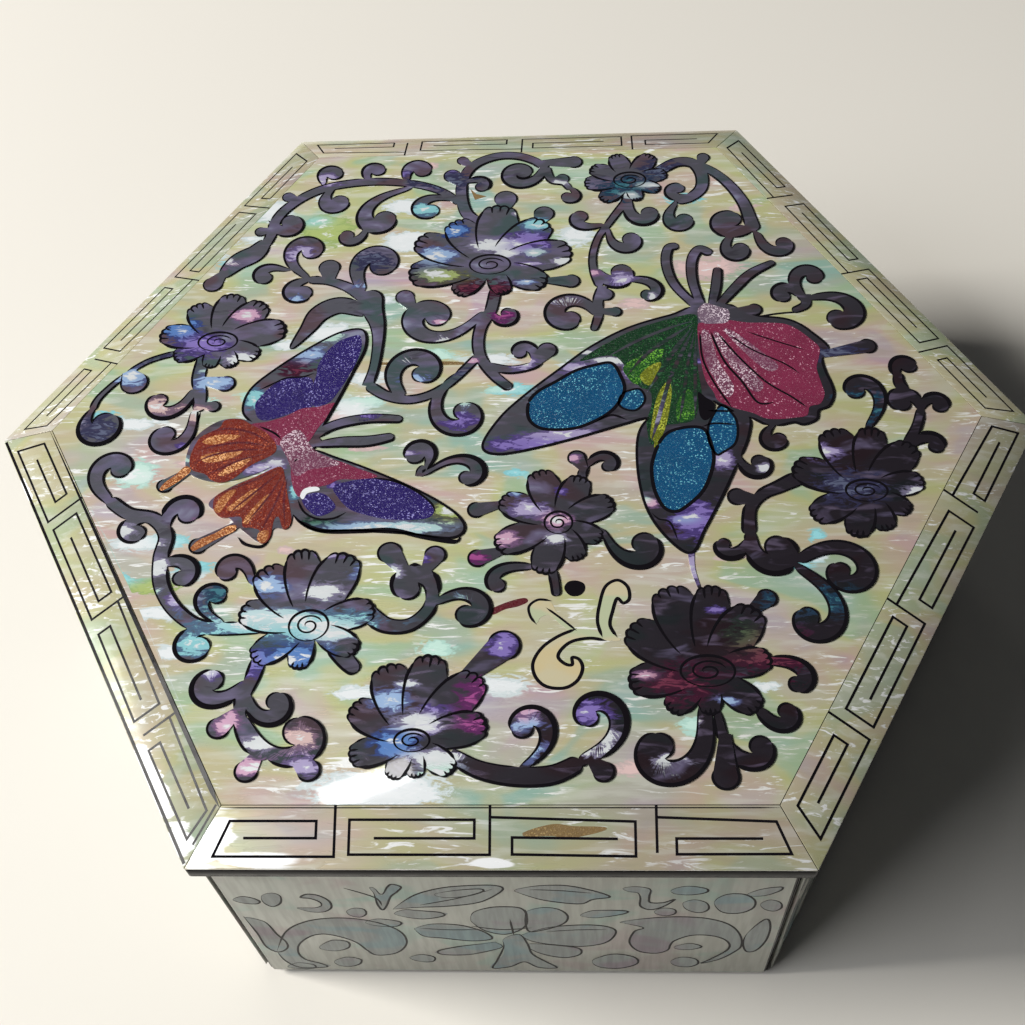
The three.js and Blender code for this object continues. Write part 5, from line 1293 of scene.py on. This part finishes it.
for layer, (name, (material, edge, outlines)) in enumerate(WING_CELLS.items()):
    shapes = [closed_outline(outline) for outline in outlines]
    raise_sheet("wing_" + name, shapes, FIELD_TOP, PAINT_HEIGHT + PAINT_STEP * layer, material, "painted_shell")
    if edge:
        rim = [shape for outline in outlines for shape in ink_line(closed_line(outline), edge, 0.2)]
        raise_sheet("wing_" + name + "_edge", rim, FIELD_TOP, INK_HEIGHT, INK, "lacquer")
ribs = [shape for width, row in WING_RIBS for shape in ink_line(fixed_line(row, 24), width, 4)]
ribs = raise_sheet("wing_ribs", ribs, FIELD_TOP, RIB_HEIGHT, DARK_SHELL, "painted_shell", grain=NET_GRAIN)
paint_highlights_and_tints(ribs, [("green", 24, 8, 9, 9), ("lilac", 20, 2, 2, 3)], 0.8)
strokes = [shape for row in BROWN_STROKES for shape in ink_line(fixed_line(row, 24), 0.34, 3)]
raise_sheet("wing_strokes", strokes, FIELD_TOP, STROKE_HEIGHT, DRIED_RED, "painted_shell")
lines = [shape for width, row in WING_LINES for shape in ink_line(smooth_line(row, 9), width, 1.2)]
lines.append(closed_outline(BLACK_WEDGE))
raise_sheet("wing_lines", lines, FIELD_TOP, INK_HEIGHT, INK, "lacquer")
crescent = [closed_outline(WHITE_CRESCENT)]
crescent = raise_sheet("wing_crescent", crescent, FIELD_TOP, INK_HEIGHT, PALE_SHELL, "painted_shell", grain=0.4)
paint_highlights_and_tints(crescent, [("white", -27.4, -11.6, 3, 3)], 3)
print("wing cells:", len(WING_CELLS), "lines:", len(WING_LINES))

# %% [markdown]
# ## The key pattern of the border
# The sloping border carries an ink line that folds in on itself, four units to a side. It is drawn flat, measured
# along the strip and down from its inner edge, and a matrix then lays it on each slope. Two sides also have ink in
# the crease where the border meets the field, and the front left one is inked along its outer edge and its mitre.

# %% Lay the key pattern on the slopes
FRET = [
    [-19.5, 0, -19.5, 6, -34.1, 6, -32.25, 1.85, -21.75, 1.85, -21.75, 3.85, -30.5, 3.85],
    [-0.9, 0, -0.9, 5.75, -17.75, 5.75, -17.75, 1.7, -2.75, 1.7, -2.75, 3.85, -14.75, 3.85],
    [-0.9, 1.4, 16.35, 1.9, 16.35, 5.9, 1.75, 5.7, 1.75, 3.75, 14.25, 3.9], [18.85, 0, 18.85, 5.5],
    [18.85, 1.4, 32.9, 1.9, 34.5, 5.6, 21.15, 5.65, 21.15, 3.85, 31.25, 3.85],
]
INNER_CORNER, OUTER_CORNER, OUTER_EDGE_Z = 66.9, 75.0, 47.40
INNER_FLAT, OUTER_FLAT = INNER_CORNER * math.cos(math.pi / 6), OUTER_CORNER * math.cos(math.pi / 6)
SLOPE = math.hypot(OUTER_FLAT - INNER_FLAT, FIELD_TOP - OUTER_EDGE_Z)


def straight_line(points, width):
    """A line of even width with mitred corners, as four-sided shapes."""
    points = np.reshape(points, (-1, 2)).astype(float)
    along = np.diff(points, axis=0)
    along /= np.linalg.norm(along, axis=1)[:, None]
    aside = np.stack([-along[:, 1], along[:, 0]], 1)
    corner = np.vstack([aside[:1], aside[:-1] + aside[1:], aside[-1:]])
    corner /= np.linalg.norm(corner, axis=1)[:, None]
    match = np.vstack([aside[:1], aside[1:], aside[-1:]])
    corner /= (corner * match).sum(1)[:, None]
    return band(points + corner * width / 2, points - corner * width / 2)


def side_directions(number):
    """Which way is out of a side and which way runs along it."""
    direction = math.radians(60 * number + 30)
    out = Vector((math.cos(direction), math.sin(direction), 0))
    return out, Vector((-out.y, out.x, 0))


def slope_place(number):
    """Flat drawing to slope: x runs along the strip, y down the slope from its inner edge."""
    out, along = side_directions(number)
    up = (Vector((0, 0, FIELD_TOP)) + out * INNER_FLAT - Vector((0, 0, OUTER_EDGE_Z)) - out * OUTER_FLAT).normalized()
    away = along.cross(up)
    away = away if away.z > 0 else -away
    start = (out * INNER_FLAT + Vector((0, 0, FIELD_TOP))) * MM
    rows = [(along[i], -up[i], away[i], start[i]) for i in range(3)]
    return Matrix((*rows, (0, 0, 0, 1)))


SKIN_SUNK, SKIN_LIFT = -0.08, 0.02
for number, way in enumerate(SIDES):
    lines = [shape for unit in FRET for shape in straight_line(unit, 0.26 if way.startswith("back") else 0.32)]
    crease = np.array([(x, 0.3) for x in np.linspace(-INNER_CORNER / 2, INNER_CORNER / 2, 30)])
    if way == "front_left":
        lines += ink_line(crease, np.interp(crease[:, 0], (-33, -14, 34), (0.1, 0.45, 0.6)), 2)
        lines += straight_line([-37, SLOPE - 0.3, 37, SLOPE - 0.3], 0.42)
        lines += straight_line([33, 0.5, 35.6, 5.2], 0.3)
    if way == "front":
        lines += ink_line(crease, 0.14, 2)
        flaw = band(*stem_edges(0.3, 1.5, 0.2, 3, 3.4, 6.5, 2.9, 9, 3.1, 13, 2.7))
        raise_sheet("border_flaw", flaw, SKIN_SUNK, 0.012, BROWN_FLAW, "painted_shell", placed=slope_place(number))
    raise_sheet("key_pattern_" + way, lines, SKIN_SUNK, SKIN_LIFT, INK, "lacquer", placed=slope_place(number))
print("slope in mm:", round(SLOPE, 2))

# %% [markdown]
# ## The upright sides
# The upright sides carry a flower between two big scrolls, in smoky shell, with small leaves above and thin dark
# lines round everything. All six sides carry the same drawing. It is measured along the side and up from the
# floor, and it is colour only, so it hardly rises from the panel. A last ink line marks the joint under the lid and
# paints the shadow of the lid's edge there.

# %% Draw the sides
SIDE_CUT = {"leaves": [
    [-35, 25.3, -32.5, 22.8, -32.1, 16.5, -31.4, 13.4, -33.1, 9.9, -34.7, 11.8, -34.8, 18.3],
    [-33.5, 10.9, -30.2, 20.2, -26.2, 24.2, -21.6, 25.2, -17.5, 23.3, -14.9, 19.5, -14.7, 14, -17, 9.4, -20.3, 9,
    -20.9, 13, -23, 16.5, -25.5, 18.3, -28, 16.8, -30.2, 12.6, -30.7, 8, -29.5, 5.2, -27.1, 3.2, -31.2, 2.1,
    -33.3, 5.5],
    [-27.1, 12.7, -24.5, 15.7, -22.6, 14.1, -23.9, 11, -26.5, 10.8], [-19.1, 23.6, -16.7, 24.9, -14, 23, -16.7, 21.3],
    [-35.1, 32.4, -33.5, 33.7, -32.1, 32.7, -31.8, 31.1, -33.6, 30.8],
    [-31, 34, -29.3, 35, -28.6, 33.1, -29.8, 29.9, -31.2, 30.5],
    [-27.3, 29.2, -25.6, 27.6, -23.6, 28, -22.5, 30.6, -23.2, 33.5, -24.8, 34.7, -26.1, 33.4, -24.7, 32.8,
    -23.8, 31.2, -24.3, 29.6, -25.8, 29.3],
    [-16.7, 37.1, -16.4, 34.5, -16.5, 29.7, -15.8, 28.7, -14.8, 32.9, -13.5, 35.4, -12.7, 37.5, -13.9, 38.4,
    -14.7, 36.6, -15.6, 34.2, -15.9, 36.6], [-21, 28, -19.6, 29.3, -18.4, 28.4, -18.9, 26, -20.4, 25.7],
    [-14.8, 27.1, -13, 28.8, -11, 28.1, -7.7, 27.2, -10.2, 25.1, -12.9, 25.4],
    [-14.5, 29.4, -10.7, 35.1, -6.4, 37.6, -2.2, 38.1, 0.2, 37.5, -1.5, 33.8, -3.8, 31.4, -8.1, 30, -12.4, 29.6],
    [-8.7, 34.8, -5.4, 36.4, -2.3, 36.7, -3.5, 34.9, -6.7, 33.3],
    [1.6, 36.5, 4.9, 38.1, 8.9, 37.9, 11.9, 35.6, 13.6, 34, 11.5, 33.2, 9.8, 31.3, 6.7, 31.9, 3.7, 33.6],
    [-4.9, 25.2, -4, 28.2, -1.2, 30, 1.4, 29.7, 2.4, 28.3, 2.5, 23.3, 0.9, 19.7, -1.4, 18.6, -4, 21.1],
    [2.7, 28.3, 5.1, 29.8, 7.3, 28.5, 8, 25.2, 6.8, 22.5, 4.8, 20.7, 2.7, 19.8, 2.3, 23.3],
    [-12.6, 21.1, -9.9, 22.9, -6.6, 22.4, -4.5, 20.7, -2.3, 17.2, -4.9, 15.5, -9.3, 16.7, -12.1, 17.8],
    [1.9, 18.7, 5.4, 21.6, 9.8, 22.7, 13.6, 21.9, 14.2, 18.9, 13.1, 15.2, 9.7, 13.3, 5.2, 14.2, 2.4, 16],
    [2.4, 14.3, 6.3, 13.6, 9.8, 11.8, 8.5, 8.3, 5.6, 8.5, 2.8, 11.3],
    [-2.4, 15, -5.1, 13.8, -8.6, 12.3, -11.1, 9.9, -7.8, 8.8, -4.2, 10.4, -1.4, 12.8],
    [-1, 16.5, 1.5, 18.3, 2.4, 12.4, 3.2, 7.6, 6.3, 3.5, 3.7, 2.8, 1.4, 5.8, -1.1, 3.1, -3.7, 3.1, -1.4, 9.5],
    [15, 24.1, 18.9, 25.7, 23.6, 26.2, 28, 24.6, 30.6, 20.2, 31.6, 14.4, 30.7, 10.7, 28.7, 7.2, 26.4, 5.7, 29.4, 10.3,
    29.9, 14.8, 27.9, 18, 24.6, 18.5, 22.2, 15.8, 21.8, 13.5, 21.1, 10.7, 18.2, 10.6, 16.3, 14.6, 16.8, 20,
    17.9, 21.9], [22.6, 13.6, 24.8, 14.9, 26.3, 12.9, 23.4, 11.9],
    [32, 19.9, 34, 25.7, 34.8, 20.3, 34.4, 13.8, 32.9, 10.9, 31.8, 14.5],
    [15, 37.2, 16.8, 37.8, 18.7, 36.3, 18.1, 32.9, 19.5, 31.4, 21.6, 33.3, 20.3, 30.4, 18.4, 29.1, 17.1, 31.3,
    17.3, 35.1, 16, 35.7],
    [9.6, 26.7, 11.4, 28.7, 14.2, 28.7, 16.1, 28.1, 13.5, 26.4, 11.4, 25.7],
    [19.2, 28.5, 20.5, 29.8, 22, 28.8, 21.5, 26.9, 19.9, 26.9],
    [22.7, 31.7, 24.3, 33, 26, 31.1, 25.7, 28.2, 23.7, 28.5],
    [26.6, 32.1, 28.2, 35.2, 30.8, 34.6, 31.9, 31.2, 30.8, 28.3, 28.2, 27.9],
    [32.5, 31.5, 33.7, 33.1, 35.2, 31.5, 35, 29, 33.5, 29],
    [21, 36.6, 23.2, 38.1, 25.7, 36.7, 24.6, 35.2, 22.1, 34.8],
    [30.5, 35.2, 32.5, 37.3, 34.8, 37.7, 33.7, 35.5, 31.8, 34.3],
    [-26.1, 5.7, -23.7, 7.7, -22, 5.8, -23.6, 3.3, -25.6, 3.2], [-15, 7.5, -12.9, 9.1, -11.2, 7.2, -12.8, 5.1],
    [11.1, 6.4, 13.1, 9.2, 15.4, 9.6, 17.9, 6.9, 16.1, 3.3, 12.5, 3.2],
    [22.3, 6.6, 24, 8.6, 26.1, 7.1, 25.8, 4.3, 23.5, 3.9], [-33.6, 2.7, -31.4, 4.8, -29.2, 3.2, -30.7, 1.5],
]}
PANEL_FLAT, JOINT_AND_SHADOW_HEIGHT = 63.65, 43.2


def side_place(number):
    """Flat drawing to side: x runs along the side, y up from the floor."""
    out, along = side_directions(number)
    start = out * PANEL_FLAT * MM
    return Matrix(((along.x, 0, out.x, start.x), (along.y, 0, out.y, start.y), (0, 1, 0, 0), (0, 0, 0, 1)))


SIDE_LINES = [
    (0.3, 0.3, 25, 0.4, 21, 0.5, 18), (0.26, 2.5, 29, 2.6, 26.5, 2.4, 24), (0.3, -5, 22, -1, 20.6, 3, 21.4),
    (0.24, -11, 30.6, -6, 33.2, -1.4, 36.6), (0.24, 3.4, 36.6, 7, 36.3, 11, 35.4),
    (0.24, -12, 21, -8, 20.4, -4, 20.6), (0.24, 5, 19.8, 9, 20.6, 13, 20.8), (0.26, -20, 37, -16.5, 33.4, -16, 30),
]
cut, outlines = figure_shapes(SIDE_CUT)
for number, way in enumerate(SIDES):
    raise_sheet("side_drawing_" + way, cut, SKIN_SUNK, 0.015, SMOKE_SHELL, "grey_shell", placed=side_place(number))
    lines = [shape for _, outline, _ in outlines for shape in ink_line(closed_line(outline[::6]), 0.3, 6)]
    for width, *row in SIDE_LINES:
        lines += ink_line(fixed_line(row, 16), width, 1.5)
    # Ink at the joint under the lid, with a painted shadow of the lid's edge.
    lines += straight_line([-36, JOINT_AND_SHADOW_HEIGHT, 36, JOINT_AND_SHADOW_HEIGHT], 0.9)
    raise_sheet("side_lines_" + way, lines, SKIN_SUNK, 0.03, INK, "lacquer", placed=side_place(number))
print("drawn sides:", len(SIDES))

# %% [markdown]
# ## Finish
# The looks must stay inside the frame's box, which was measured at the start.

# %% Clear the selection
deselect_all()
